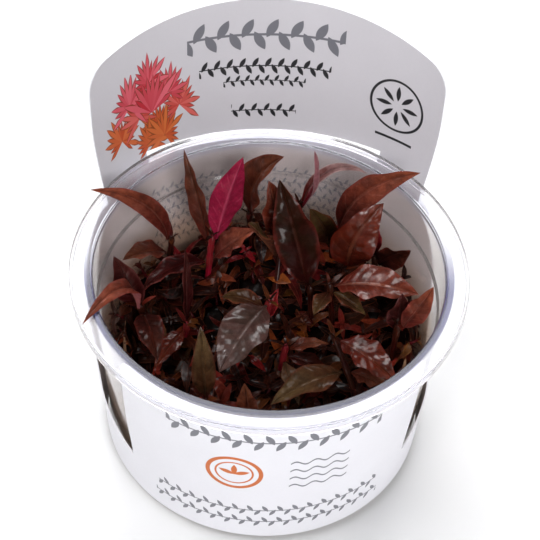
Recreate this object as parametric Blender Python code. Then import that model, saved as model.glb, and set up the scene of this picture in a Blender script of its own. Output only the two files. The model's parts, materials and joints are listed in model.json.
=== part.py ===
"""Alternanthera reineckii, a red aquarium plant, grown in a clear cup with a printed card wrap.

The frame: Z is the cup's axis, the floor is z = 0, the wrap's front panel faces -Y and its tall
header stands at +Y. Sizes here are in millimetres and degrees, and solid_object makes them metres.
"""
from math import cos, hypot, pi, radians, sin, sqrt
from typing import NamedTuple

import bpy
from mathutils import Matrix, Vector, noise
from mathutils.bvhtree import BVHTree

MM = 0.001
GAP = 0.3

CUP_HEIGHT = 60.0
FLANGE_RADIUS = 50.0
FLANGE_THICKNESS = 1.2
FLANGE_EDGE = 0.4
SKIRT_DROP = 2.8
SKIRT_THICKNESS = 0.8
BASE_RADIUS = 43.0
BASE_ROUND = 1.5
MOUTH_RADIUS = 45.0
LIP_SLANT = 0.5
WALL = 0.8
FLOOR = 1.2
LEDGE_HEIGHT = 49.0
LEDGE_STEP = 0.6
CUP_SIDES = 54

CARD = 0.4
CARD_FIT = 0.35
BAND_FOOT = 2.0
NOTCH_HEIGHT = 16.0
NOTCH_ANGLE = 52.5
PANEL_ANGLE = 54.3
PANEL_TOP = 57.0
PANEL_CORNER = 6.0
PANEL_FLARE_TOP = 34.0
WING_TOP = 50.0
WING_SHOULDER = 20.0
WING_BREAK = 0.6
HEADER_TOP = 101.5
HEADER_ARCH = 154.0
HEADER_CORNER = 5.5
HEADER_FOOT_HALF_WIDTH = 46.7
HEADER_FLARE = 3.4
HEADER_FLARE_FOOT = 44.0
HEADER_FLARE_TOP = 80.0
HEADER_CURVE = 60.0
HEADER_BACK = 48.5
HEADER_LEAN = 5.5
SLOT_LOW = CUP_HEIGHT - SKIRT_DROP - GAP
SLOT_HIGH = 60.7
SLOT_COLUMN = 0.69
HALF_COLUMNS = (0.14, 0.28, 0.42, 0.56, SLOT_COLUMN, 0.82, 0.91, 0.97, 1.0)
COLUMNS = tuple(-c for c in reversed(HALF_COLUMNS)) + (0,) + HALF_COLUMNS
BAND_ROWS = (0, 0.35, 0.7, 1.0)
PANEL_ROWS = (0.45, 0.8, 1.0)
HEADER_ROWS = (0.34, 0.67, 1.0)
WING_COLUMNS = 10

GEL_TOP = 12.0
GEL_RADIUS = 41.6
GEL_FOOT_RADIUS = 39.6
GEL_ROUND = 2.0
GEL_SIDES = 40

GROWTH_FOOT = GEL_TOP + GAP
GROWTH_FOOT_RADIUS = 40.4
GROWTH_RADIUS = 41.8
GROWTH_EDGE = 24.5
GROWTH_CROWN = 29.5
GROWTH_BACK_RISE = 6.5
GROWTH_LUMPS = 3.5
MOUND_PLACE = (2.0, 29.0)
MOUND_RADIUS = 26.0
MOUND_RISE = 7.0
BANK_RISE = 14.5
BANK_START = 0.77
BANK_TOP = 0.94
BANK_TURN = (0.62, 0.95)
BANK_LUMPS = 0.5
LUMP_SIZE = 7.0
GROWTH_ROUND = 3.0
GROWTH_RINGS = (1.0, 0.9, 0.78, 0.62, 0.45, 0.28, 0.13)
GROWTH_SECTORS = 28

STEM_FOOT_RADIUS = 1.1
STEM_TIP_RADIUS = 0.7
STEM_SIDES = 6
STEM_STATIONS = (0.0, 0.35, 0.7, 0.96)
CHANNEL_CLEARANCE = 0.5
CHANNEL_OVERRUN = 2.0

LEAF_THICKNESS = 0.7
UNDER_SHARE = 0.5
OVER_SHARE = 0.3
PETIOLE_WIDTH = 1.3
PETIOLE_SHARE = 0.08
BLADE_BASE_POWER = 0.6
BLADE_TIP_POWER = 0.9
WIDEST = BLADE_BASE_POWER / (BLADE_BASE_POWER + BLADE_TIP_POWER)
BLADE_SCALE = 1 / (WIDEST ** BLADE_BASE_POWER * (1 - WIDEST) ** BLADE_TIP_POWER)
LEAF_FOLD = 18.0
LEAF_STATIONS = (0.05, 0.15, 0.28, 0.43, 0.59, 0.75, 0.9)
SPINE_STEPS = 40
LEAF_CLEARANCE = 0.4
SWING_STEP = 2.5
SWING_STEPS = 16
SWING_WAYS = 8


class Stem(NamedTuple):
    """One shoot: where its foot stands in the gel and where its growing tip ends."""

    foot: tuple
    tip: tuple


class Leaf(NamedTuple):
    """One leaf, seen as a botanist would: where it leaves its stem and how its blade runs.

    Heading is counted from +X towards +Y and rise from the level. Bend is how far the blade arches
    over from base to tip, roll how far it is turned about its own midrib, and sweep how far it
    swings sideways.
    """

    stem: str
    height: float
    heading: float
    rise: float
    length: float
    width: float
    bend: float
    roll: float = 0.0
    sweep: float = 0.0
    tint: str = "brown"


STEMS = {
    "stem_west_back": Stem((-27, 21), (-25, 26, 42)),
    "stem_west": Stem((-32, 4), (-33, 2, 42)),
    "stem_back_left": Stem((-16, 18), (-14, 24, 45)),
    "stem_back": Stem((-2, 27), (-4, 32, 45)),
    "stem_heart": Stem((2, 8), (5, 25, 44)),
    "stem_centre": Stem((13, 6), (12, 11, 39)),
    "stem_back_right": Stem((11, 32), (10, 36, 45)),
    "stem_right_back": Stem((19, 25), (20, 30, 41)),
    "stem_right_middle": Stem((24, 14), (22, 18, 38)),
    "stem_right": Stem((19, 5), (17, 10, 41)),
    "stem_far_right": Stem((32, 14), (30, 20, 41)),
    "stem_east": Stem((33, -7), (34, -4, 41)),
    "stem_front_right": Stem((25, -19), (17, -4, 37)),
    "stem_front_middle": Stem((3, -9), (5, -6, 35)),
    "stem_front": Stem((-4, -29), (-5, -27, 31)),
    "stem_front_left": Stem((-17, -23), (-16, -20, 31)),
    "stem_left": Stem((-22, 2), (-21, 4, 32)),
    "stem_middle": Stem((-2, 0), (1, 5, 40)),
}

LEAVES = {
    "leaf_spire": Leaf("back_left", 43, 16, 80, 30, 9.5, 8, -106, 0, "crimson"),
    "leaf_tower": Leaf("centre", 37, 121, 64, 32, 12.5, 8, -20, 0, "olive"),
    "leaf_sail": Leaf("right", 40, 339, 34, 24, 12.5, 40, 0, 0, "brick"),
    "leaf_arch": Leaf("right_back", 40, 352, 86, 34, 9, 70, 45, 0, "brown"),
    "leaf_hook": Leaf("back", 44, 338, 102, 28, 12, 60, 50, 0, "brown"),
    "leaf_far_west": Leaf("west_back", 41, 190, 85, 33, 6, 75, -70, 0, "brown"),
    "leaf_over_rim": Leaf("west", 41, 240, 80, 36, 5, 105, -20, 0, "brick"),
    "leaf_gloss": Leaf("middle", 39, 233, 7, 23, 14, 50, 0, 0, "mauve"),
    "leaf_ribbon": Leaf("back_right", 44, 330, 66, 31, 3.2, -10, 60, -120, "mauve"),
    "leaf_sickle": Leaf("back_right", 42.5, 28, 86, 29, 3.6, 80, 30, -85, "brown"),
    "leaf_strap": Leaf("back_left", 41, 118, 80, 28, 6, 10, -50, 0, "brown"),
    "leaf_curl": Leaf("back_left", 38, 358, 58, 16, 8, 25, 20, 0, "brown"),
    "leaf_wet": Leaf("right_middle", 37, 34, 102, 24, 13, 80, 40, 0, "brick"),
    "leaf_brick": Leaf("heart", 43, 160, 78, 21, 9, 10, -50, 0, "brick"),
    "leaf_flame": Leaf("far_right", 39.8, 91, 75, 10, 4, 10, 0, 0, "crimson"),
    "leaf_drape": Leaf("front_right", 36, 330, 5, 20, 9.5, 45, 0, 0, "brick"),
    "leaf_boat": Leaf("front_right", 30, 204, 18, 22, 10, 50, 0, 0, "olive"),
    "leaf_lance": Leaf("front_left", 29, 98, 78, 22, 6.5, 20, -10, 0, "olive"),
    "leaf_bow": Leaf("back_left", 37, 193, 38, 22, 7, 90, 0, 0, "crimson"),
    "leaf_pale": Leaf("left", 31, 91, 77, 22, 4.5, 20, 50, 0, "mauve"),
    "leaf_west_tip": Leaf("west_back", 37.5, 212, 35, 15, 8, 50, 0, 0, "brown"),
    "leaf_west_mauve": Leaf("west", 39.5, 160, 80, 19, 8, 12, -60, 0, "mauve"),
    "leaf_east_mauve": Leaf("east", 37, 79, 80, 12, 7.5, 10, 10, 0, "mauve"),
    "leaf_east_wall": Leaf("east", 39, 0, 62, 18, 6.5, -12, 70, 0, "brown"),
    "leaf_star_left": Leaf("right", 38.5, 240, 15, 9, 5, 30, 0, 0, "olive"),
    "leaf_star_right": Leaf("right", 38.5, 318, 10, 11, 5, 30, 0, 0, "olive"),
    "leaf_side_olive": Leaf("right_back", 36, 202, 77, 19, 8, 20, -100, 0, "olive"),
    "leaf_ember": Leaf("front_middle", 33, 4, 30, 11, 4.5, 50, 0, 0, "ochre"),
    "leaf_ember_low": Leaf("front_middle", 31, 345, 5, 13, 6, 60, 0, 0, "brown"),
    "leaf_thumb": Leaf("front", 29, 110, 85, 12, 6, 10, -30, 0, "ochre"),
    "leaf_bud": Leaf("front_middle", 30, 285, 0, 13, 5, 20, 0, 0, "ochre"),
    "leaf_low_left": Leaf("left", 30, 235, 10, 14, 6, 40, 0, 0, "brick"),
    "leaf_twig": Leaf("middle", 37, 153, 20, 13, 6, 60, 0, 0, "olive"),
    "leaf_cherry": Leaf("middle", 33, 59, 53, 9, 4, 10, 0, 0, "crimson"),
    "leaf_rust": Leaf("front_right", 30, 330, 5, 11, 7, 40, 0, 0, "ochre"),
    "leaf_shade_east": Leaf("far_right", 38.5, 320, 60, 15, 8, 20, 90, 0, "brown"),
    "leaf_shade_west": Leaf("west", 39, 285, 30, 17, 8, 60, 0, 0, "brown"),
    "leaf_shade_back": Leaf("heart", 40, 215, 74, 20, 9, 10, 10, 0, "olive"),
}

TINTS = {
    "crimson": (0.30, 0.012, 0.055),
    "olive": (0.085, 0.045, 0.018),
    "brown": (0.075, 0.018, 0.012),
    "brick": (0.190, 0.030, 0.018),
    "mauve": (0.160, 0.070, 0.075),
    "ochre": (0.230, 0.090, 0.030),
}


def clear_scene():
    """Empties the scene before the model is built."""
    for old in list(bpy.data.objects):
        bpy.data.objects.remove(old)


def material(name, colour, roughness, transmission=0.0):
    """A Principled finish."""
    finish = bpy.data.materials.new(name)
    finish.use_nodes = True
    shader = finish.node_tree.nodes["Principled BSDF"]
    shader.inputs["Base Color"].default_value = (*colour, 1.0)
    shader.inputs["Roughness"].default_value = roughness
    shader.inputs["Metallic"].default_value = 0.0
    shader.inputs["Transmission Weight"].default_value = transmission
    return finish


def solid_object(name, solid, finish, smooth=40.0):
    """Makes an object, in metres, from the points and faces of a solid in millimetres."""
    points, faces = solid
    mesh = bpy.data.meshes.new(name)
    mesh.from_pydata([Vector(p) * MM for p in points], [], faces)
    mesh.materials.append(finish)
    mesh.shade_smooth()
    mesh.set_sharp_from_angle(angle=radians(smooth))
    piece = bpy.data.objects.new(name, mesh)
    bpy.context.scene.collection.objects.link(piece)
    return piece


def skin(rings, start, end):
    """Joins closed rings of equal count into a skin that a pole point closes at each end.

    Seen from the end pole, every ring goes round anticlockwise.
    """
    count = len(rings[0])
    points = [p for ring in rings for p in ring] + [start, end]
    faces = []
    for row in range(len(rings) - 1):
        a, b = row * count, (row + 1) * count
        for i in range(count):
            j = (i + 1) % count
            faces.append((a + i, a + j, b + j, b + i))
    last = (len(rings) - 1) * count
    first_pole, last_pole = len(points) - 2, len(points) - 1
    for i in range(count):
        j = (i + 1) % count
        faces.append((j, i, first_pole))
        faces.append((last + i, last + j, last_pole))
    return points, faces


def lathe(profile, sides):
    """Turns a profile about Z; it runs from the axis below, outwards and round, to the axis above."""
    turns = [2 * pi * k / sides for k in range(sides)]
    rings = [[(r * cos(t), r * sin(t), z) for t in turns] for r, z in profile[1:-1]]
    return skin(rings, (0, 0, profile[0][1]), (0, 0, profile[-1][1]))


def smooth_step(value, low, high):
    """Rises smoothly from 0 at low to 1 at high."""
    t = min(max((value - low) / (high - low), 0.0), 1.0)
    return t * t * (3 - 2 * t)


def cup_radius(z):
    """The cup's outer radius at a height on its tapering wall."""
    return BASE_RADIUS + (MOUTH_RADIUS - BASE_RADIUS) * z / CUP_HEIGHT


def cup_solid():
    """The clear cup: flat foot, tapering wall, inner ledge, and a flange with a short skirt."""
    under = CUP_HEIGHT - FLANGE_THICKNESS
    skirt_foot = CUP_HEIGHT - SKIRT_DROP
    skirt_inside = FLANGE_RADIUS - SKIRT_THICKNESS
    lip = cup_radius(under) - WALL + LIP_SLANT
    above_ledge = cup_radius(LEDGE_HEIGHT) - WALL
    below_ledge = above_ledge - LEDGE_STEP
    inner_round = FLOOR + BASE_ROUND
    inner_foot = cup_radius(inner_round) - WALL - LEDGE_STEP
    profile = [
        (0, 0),
        (BASE_RADIUS - BASE_ROUND, 0),
        (cup_radius(BASE_ROUND), BASE_ROUND),
        (cup_radius(under), under),
        (skirt_inside, under),
        (skirt_inside, skirt_foot),
        (FLANGE_RADIUS, skirt_foot),
        (FLANGE_RADIUS, CUP_HEIGHT - FLANGE_EDGE),
        (FLANGE_RADIUS - FLANGE_EDGE, CUP_HEIGHT),
        (lip, CUP_HEIGHT),
        (lip - LIP_SLANT, under),
        (above_ledge, LEDGE_HEIGHT),
        (below_ledge, LEDGE_HEIGHT - LEDGE_STEP),
        (inner_foot, inner_round),
        (inner_foot - BASE_ROUND, FLOOR),
        (0, FLOOR),
    ]
    return lathe(profile, CUP_SIDES)


def gel_solid():
    """The growing gel, a disc that fills the cup's foot."""
    foot = FLOOR + GAP
    side_foot = (cup_radius(foot) - WALL - LEDGE_STEP - GAP, foot + GEL_ROUND)
    profile = [(0, foot), (GEL_FOOT_RADIUS, foot), side_foot, (GEL_RADIUS, GEL_TOP), (0, GEL_TOP)]
    return lathe(profile, GEL_SIDES)


def wrap_radius(z):
    """The inner radius of the card where it hugs the cup."""
    return cup_radius(z) + CARD_FIT


def back_point(s, z, depth):
    """Bends the back of the flat card into place.

    s is the way along the sheet from the middle of the back. Low down the card hugs the cup; higher
    up it opens to the header's flatter curve, which leans back.
    """
    open_up = smooth_step(z, NOTCH_HEIGHT, CUP_HEIGHT - 1)
    hug = wrap_radius(z)
    radius = hug + (HEADER_CURVE - hug) * open_up
    lean = max(z - CUP_HEIGHT, 0) * sin(radians(HEADER_LEAN))
    back = hug + (HEADER_BACK - hug) * open_up + lean
    turn = s / radius
    reach = radius + depth
    return (reach * sin(turn), back - radius + reach * cos(turn), z)


def front_point(s, z, depth):
    """Bends the front panel round the cup; s is the way along from the middle of the front."""
    radius = wrap_radius(z)
    turn = s / radius
    return (-(radius + depth) * sin(turn), -(radius + depth) * cos(turn), z)


def rounded_top(s, edge, top, corner, sag):
    """The height of a panel's upper edge: down by sag, and rounded down towards its side edge."""
    over = abs(s) - (edge - corner)
    if over <= 0:
        return top - sag
    return top - sag - corner + sqrt(max(corner * corner - over * over, 0))


NOTCH_REACH = radians(180 - NOTCH_ANGLE) * wrap_radius(NOTCH_HEIGHT)


def header_half_width(z):
    """Half the header's width along the sheet, which widens a little above the slot."""
    flare = HEADER_FLARE * smooth_step(z, HEADER_FLARE_FOOT, HEADER_FLARE_TOP)
    return HEADER_FOOT_HALF_WIDTH + flare


def header_grid():
    """The middle of the back, from the card's foot to the header's arched top, as rows of points."""
    levels = [BAND_FOOT + (WING_TOP - BAND_FOOT) * v for v in BAND_ROWS] + [SLOT_LOW, SLOT_HIGH]
    rows = [[(a * header_half_width(z), z) for a in COLUMNS] for z in levels]
    widest = header_half_width(HEADER_TOP)
    for v in HEADER_ROWS:
        row = []
        for a in COLUMNS:
            sag = HEADER_ARCH - sqrt(HEADER_ARCH ** 2 - (a * widest) ** 2)
            top = rounded_top(a * widest, widest, HEADER_TOP, HEADER_CORNER, sag)
            z = SLOT_HIGH + (top - SLOT_HIGH) * v
            row.append((a * header_half_width(z), z))
        rows.append(row)
    return rows


def wing_top(s):
    """The upper edge of the card between the header and the notch, a long falling curve."""
    t = (s - HEADER_FOOT_HALF_WIDTH) / (NOTCH_REACH - HEADER_FOOT_HALF_WIDTH)
    fall = (WING_TOP - WING_SHOULDER) * smooth_step(t, 0, WING_BREAK)
    return WING_TOP - fall - (WING_SHOULDER - NOTCH_HEIGHT) * smooth_step(t, WING_BREAK, 1.0)


def wing_grid(side):
    """The low part of the card between the header and the notch, on one side."""
    span = NOTCH_REACH - HEADER_FOOT_HALF_WIDTH
    reach = [HEADER_FOOT_HALF_WIDTH + span * k / WING_COLUMNS for k in range(WING_COLUMNS + 1)]
    rows = []
    for v in BAND_ROWS:
        row = [(side * s, BAND_FOOT + (wing_top(s) - BAND_FOOT) * v) for s in reach]
        rows.append(row if side > 0 else row[::-1])
    return rows


def panel_half_width(z):
    """Half the front panel's width along the sheet; its side edges lean a little outwards."""
    if z <= NOTCH_HEIGHT:
        return pi * wrap_radius(z) - NOTCH_REACH
    flare = (PANEL_ANGLE - NOTCH_ANGLE) * smooth_step(z, NOTCH_HEIGHT, PANEL_FLARE_TOP)
    return radians(NOTCH_ANGLE + flare) * wrap_radius(z)


def panel_grid():
    """The front panel, with rounded upper corners."""
    levels = [BAND_FOOT + (NOTCH_HEIGHT - BAND_FOOT) * v for v in BAND_ROWS]
    rows = [[(a * panel_half_width(z), z) for a in COLUMNS] for z in levels]
    widest = panel_half_width(PANEL_TOP)
    for v in PANEL_ROWS:
        row = []
        for a in COLUMNS:
            top = rounded_top(a * widest, widest, PANEL_TOP, PANEL_CORNER, 0)
            z = NOTCH_HEIGHT + (top - NOTCH_HEIGHT) * v
            row.append((a * panel_half_width(z), z))
        rows.append(row)
    return rows


def in_slot(low, column):
    """Whether the cell above a row's point, and right of it, lies in the slot for the flange."""
    middle = abs(COLUMNS[column] + COLUMNS[column + 1]) / 2
    return low[column][1] == SLOT_LOW and middle < SLOT_COLUMN


def label_solid():
    """The card wrap as one sheet with thickness: band, front panel, wings, header and slot."""
    outer, inner, quads, index = [], [], [], {}

    def corner(bend, s, z):
        point = bend(s, z, CARD)
        key = tuple(round(c, 2) for c in point)
        if key not in index:
            index[key] = len(outer)
            outer.append(point)
            inner.append(bend(s, z, 0))
        return index[key]

    patches = (
        (header_grid(), back_point, True),
        (wing_grid(1), back_point, False),
        (wing_grid(-1), back_point, False),
        (panel_grid(), front_point, False),
    )
    for rows, bend, slotted in patches:
        for low, high in zip(rows, rows[1:]):
            for k in range(len(low) - 1):
                if slotted and in_slot(low, k):
                    continue
                around = (low[k], high[k], high[k + 1], low[k + 1])
                quads.append([corner(bend, s, z) for s, z in around])
    count = len(outer)
    edges = {(a, b) for quad in quads for a, b in zip(quad, quad[1:] + quad[:1])}
    faces = [tuple(quad) for quad in quads]
    faces += [tuple(i + count for i in reversed(quad)) for quad in quads]
    faces += [(b, a, a + count, b + count) for a, b in sorted(edges) if (b, a) not in edges]
    return outer + inner, faces


def growth_height(x, y):
    """The lumpy top of the low growth: a dome with a mound at the back and a bank at either side."""
    radius = hypot(x, y)
    share = radius / GROWTH_RADIUS
    dome = GROWTH_EDGE + (GROWTH_CROWN - GROWTH_EDGE) * (1 - share ** 3)
    slope = GROWTH_BACK_RISE * y / GROWTH_RADIUS
    away = hypot(x - MOUND_PLACE[0], y - MOUND_PLACE[1]) / MOUND_RADIUS
    mound = MOUND_RISE * (1 - smooth_step(away, 0.0, 1.0))
    sideways = smooth_step(abs(x) / max(radius, LUMP_SIZE), *BANK_TURN)
    bank = sideways * smooth_step(share, BANK_START, BANK_TOP)
    lumps = noise.noise(Vector((x / LUMP_SIZE, y / LUMP_SIZE, 4.0))) * GROWTH_LUMPS
    return dome + slope + mound + BANK_RISE * bank + lumps * (1 - BANK_LUMPS * bank)


def growth_solid():
    """The low growth as one crust from the gel up, its top a dome of lumps."""
    turns = [2 * pi * k / GROWTH_SECTORS for k in range(GROWTH_SECTORS)]
    half_step = pi / GROWTH_SECTORS
    rings = []
    for radius, z in ((GROWTH_FOOT_RADIUS - GROWTH_ROUND, 0.0), (GROWTH_FOOT_RADIUS, GROWTH_ROUND)):
        rings.append([(radius * cos(t), radius * sin(t), GROWTH_FOOT + z) for t in turns])
    for share in GROWTH_RINGS:
        ring = []
        for t in turns:
            x = share * GROWTH_RADIUS * cos(t + half_step)
            y = share * GROWTH_RADIUS * sin(t + half_step)
            ring.append((x, y, growth_height(x, y)))
        rings.append(ring)
    return skin(rings, (0, 0, GROWTH_FOOT), (0, 0, growth_height(0, 0)))


def stem_axis(stem, z):
    """The point of a stem's axis at a height; it leaves the gel upright and curves to its tip."""
    share = max((z - GROWTH_FOOT) / (stem.tip[2] - GROWTH_FOOT), 0.0) ** 2
    x = stem.foot[0] + (stem.tip[0] - stem.foot[0]) * share
    y = stem.foot[1] + (stem.tip[1] - stem.foot[1]) * share
    return Vector((x, y, z))


def stem_radius(stem, z):
    """A stem's radius at a height."""
    share = (z - GROWTH_FOOT) / (stem.tip[2] - GROWTH_FOOT)
    return STEM_FOOT_RADIUS + (STEM_TIP_RADIUS - STEM_FOOT_RADIUS) * share


def stem_solid(stem, grow=0.0, overrun=0.0):
    """A round tapering stem with a blunt growing tip; grow and overrun make its channel."""
    height = stem.tip[2] - GROWTH_FOOT
    rings = []
    for share in STEM_STATIONS:
        z = GROWTH_FOOT + height * share - (overrun if share == 0 else 0)
        radius = stem_radius(stem, z) + grow
        middle = stem_axis(stem, z)
        turns = [2 * pi * k / STEM_SIDES for k in range(STEM_SIDES)]
        rings.append([middle + Vector((radius * cos(t), radius * sin(t), 0)) for t in turns])
    foot = stem_axis(stem, GROWTH_FOOT) - Vector((0, 0, overrun))
    return skin(rings, foot, Vector(stem.tip) + Vector((0, 0, grow)))


def blade_half_width(leaf, share):
    """Half the leaf's width at a share of its length: a short stalk, then a pointed lance."""
    u = (share - PETIOLE_SHARE) / (1 - PETIOLE_SHARE)
    if u <= 0:
        return 0.5 * PETIOLE_WIDTH
    lance = BLADE_SCALE * u ** BLADE_BASE_POWER * (1 - u) ** BLADE_TIP_POWER
    return max(0.5 * leaf.width * lance, 0.5 * PETIOLE_WIDTH)


def blade_solid(leaf, heading, rise, grow=0.0):
    """A leaf as a closed blade folded up along its midrib, thin at its edges.

    heading and rise differ from the leaf's own where its neighbours push it aside. grow makes the
    blade larger all round, to test its clearance.
    """
    stem = STEMS["stem_" + leaf.stem]
    outwards = Vector((cos(radians(heading)), sin(radians(heading)), 0))
    clear = stem_radius(stem, leaf.height) + LEAF_CLEARANCE
    point = stem_axis(stem, leaf.height) + outwards * clear
    stride = (leaf.length + grow) / SPINE_STEPS
    spine = []
    for k in range(SPINE_STEPS + 1):
        turn = radians(heading + leaf.sweep * k / SPINE_STEPS)
        lift = radians(rise - leaf.bend * k / SPINE_STEPS)
        along = Vector((cos(lift) * cos(turn), cos(lift) * sin(turn), sin(lift)))
        upper = Vector((-sin(lift) * cos(turn), -sin(lift) * sin(turn), cos(lift)))
        spine.append((point, along, upper))
        point = point + along * stride
    rings = []
    for share in LEAF_STATIONS:
        middle, along, upper = spine[round(share * SPINE_STEPS)]
        upper = Matrix.Rotation(radians(leaf.roll), 3, along) @ upper
        half = blade_half_width(leaf, share) + grow
        under = upper * (UNDER_SHARE * LEAF_THICKNESS + grow)
        over = upper * (OVER_SHARE * LEAF_THICKNESS + grow)
        out = along.cross(upper) * half * cos(radians(LEAF_FOLD))
        up = upper * half * sin(radians(LEAF_FOLD))
        left, right = middle - out + up, middle + out + up
        left_half, right_half = (left + middle) / 2, (right + middle) / 2
        rings.append([left, left_half + over, middle + over, right_half + over,
                      right, right_half - under, middle - under, left_half - under])
    return skin(rings, spine[0][0] - spine[0][1] * grow, spine[-1][0])


def tree_of(solid):
    """A search tree over a solid's faces."""
    return BVHTree.FromPolygons([Vector(p) for p in solid[0]], solid[1])


def is_clear(leaf, heading, rise, trees, own_stem):
    """Whether a leaf at that heading and rise stays clear of everything placed so far."""
    grown = blade_solid(leaf, heading, rise, grow=GAP)
    for x, y, z in grown[0]:
        if hypot(x, y) < GROWTH_RADIUS and z < growth_height(x, y) + GAP:
            return False
    tree = tree_of(grown)
    if any(tree.overlap(other) for other in trees):
        return False
    return not tree_of(blade_solid(leaf, heading, rise)).overlap(own_stem)


def settle(leaf, trees, own_stem):
    """Finds the smallest swing about the leaf's base that clears its neighbours."""
    for step in range(SWING_STEPS):
        for way in range(SWING_WAYS if step else 1):
            turn = 2 * pi * way / SWING_WAYS
            heading = leaf.heading + SWING_STEP * step * cos(turn)
            rise = leaf.rise + SWING_STEP * step * sin(turn)
            if is_clear(leaf, heading, rise, trees, own_stem):
                return heading, rise
    raise ValueError(f"no room for the leaf on {leaf.stem} at {leaf.height}")


def build_growth():
    """The low growth, with a channel left round every stem that passes through it."""
    finish = material("growth", (0.030, 0.010, 0.007), 0.45)
    growth = solid_object("undergrowth", growth_solid(), finish, smooth=60)
    points, faces = [], []
    for stem in STEMS.values():
        channel = stem_solid(stem, grow=CHANNEL_CLEARANCE, overrun=CHANNEL_OVERRUN)
        faces += [tuple(i + len(points) for i in face) for face in channel[1]]
        points += channel[0]
    channels = solid_object("growth_channels", (points, faces), finish)
    channels.hide_render = True
    channels.display_type = "WIRE"
    cut = growth.modifiers.new("channels", "BOOLEAN")
    cut.operation = "DIFFERENCE"
    cut.object = channels


def build_plants(trees):
    """Every stem, then every leaf, each settled clear of the ones before it."""
    bark = material("stem", (0.22, 0.015, 0.035), 0.35)
    stem_trees = {}
    for name, stem in STEMS.items():
        solid = stem_solid(stem)
        solid_object(name, solid, bark)
        stem_trees[name] = tree_of(solid)
    placed = []
    for name, leaf in LEAVES.items():
        own = "stem_" + leaf.stem
        others = trees + placed + [t for key, t in stem_trees.items() if key != own]
        heading, rise = settle(leaf, others, stem_trees[own])
        solid = blade_solid(leaf, heading, rise)
        solid_object(name, solid, material(name, TINTS[leaf.tint], 0.35))
        placed.append(tree_of(solid))


def main():
    """Builds the cup, its wrap, the gel, the low growth, and the shoots with their leaves."""
    clear_scene()
    cup, label = cup_solid(), label_solid()
    solid_object("cup", cup, material("clear_cup", (0.92, 0.93, 0.94), 0.08, transmission=0.9))
    solid_object("label", label, material("card", (0.82, 0.81, 0.84), 0.45))
    solid_object("growing_gel", gel_solid(), material("gel", (0.75, 0.74, 0.68), 0.2, transmission=0.6))
    build_growth()
    build_plants([tree_of(cup), tree_of(label)])


main()
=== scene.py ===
"""Looks of a red aquarium plant in its clear culture cup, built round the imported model.

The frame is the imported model's: Z is the cup's axis, the floor is z = 0, the card's front panel
faces -Y and its tall header stands at +Y. Sizes named here are in millimetres unless they say
otherwise, and every mesh is made in metres.
"""
import json
import logging
from collections.abc import Callable, Iterator, Sequence
from dataclasses import dataclass, replace
from enum import Enum
from functools import cache
from math import ceil, cos, exp, hypot, pi, radians, sin, sqrt
from random import Random

import bmesh
import bpy
import numpy as np
from mathutils import Matrix, Vector, noise

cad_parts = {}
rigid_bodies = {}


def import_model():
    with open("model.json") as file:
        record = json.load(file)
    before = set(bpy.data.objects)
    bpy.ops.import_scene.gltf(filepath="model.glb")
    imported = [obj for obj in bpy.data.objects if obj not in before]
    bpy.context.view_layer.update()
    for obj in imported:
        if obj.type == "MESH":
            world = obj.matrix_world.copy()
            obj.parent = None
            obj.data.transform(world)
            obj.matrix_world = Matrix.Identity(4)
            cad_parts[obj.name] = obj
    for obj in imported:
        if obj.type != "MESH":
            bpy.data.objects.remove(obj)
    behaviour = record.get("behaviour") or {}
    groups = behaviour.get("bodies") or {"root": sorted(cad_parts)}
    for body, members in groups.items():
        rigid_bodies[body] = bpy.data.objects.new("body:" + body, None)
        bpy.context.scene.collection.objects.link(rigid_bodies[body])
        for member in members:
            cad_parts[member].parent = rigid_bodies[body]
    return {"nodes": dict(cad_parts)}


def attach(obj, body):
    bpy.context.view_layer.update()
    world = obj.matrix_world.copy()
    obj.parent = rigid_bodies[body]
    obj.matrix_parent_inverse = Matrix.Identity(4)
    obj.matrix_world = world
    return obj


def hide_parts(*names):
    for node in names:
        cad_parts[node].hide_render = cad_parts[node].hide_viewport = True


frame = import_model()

log = logging.getLogger("scene")

MM = 0.001
BODY = "root"
FRAME_PIXELS = 540
MERGE_GAP = 0.05
POLE_PLACES = [(0.5, 0.0), (0.5, 1.0)]

Colour = tuple[float, float, float]
Screen = tuple[int, int, int]
Ring = list[Vector]
Faces = list[tuple[int, ...]]
Rows = list[list[tuple[float, float]]]


class Face(Enum):
    """Which side of the card a print is on."""

    OUTSIDE = 1
    INSIDE = -1


class Kind(Enum):
    """What an input or output of a node group carries."""

    NUMBER = "NodeSocketFloat"
    VECTOR = "NodeSocketVector"
    COLOUR = "NodeSocketColor"


@dataclass(frozen=True)
class Film:
    """A film of water on a leaf; even is its least share of the leaf."""

    weight: float
    roughness: float
    wrinkle: float
    index: float
    even: float


class Wetness(Enum):
    """How wet a leaf is."""

    WET = Film(0.45, 0.14, 0.45, 1.4, 0.0)
    DRENCHED = Film(1.0, 0.24, 0.5, 1.58, 0.45)


def smooth_step(value: float, low: float, high: float) -> float:
    """Rises smoothly from 0 at low to 1 at high."""
    t = min(max((value - low) / (high - low), 0.0), 1.0)
    return t * t * (3 - 2 * t)


def circle(sides: int) -> list[float]:
    """Angles evenly spaced round a circle."""
    return [2 * pi * k / sides for k in range(sides)]


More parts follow.
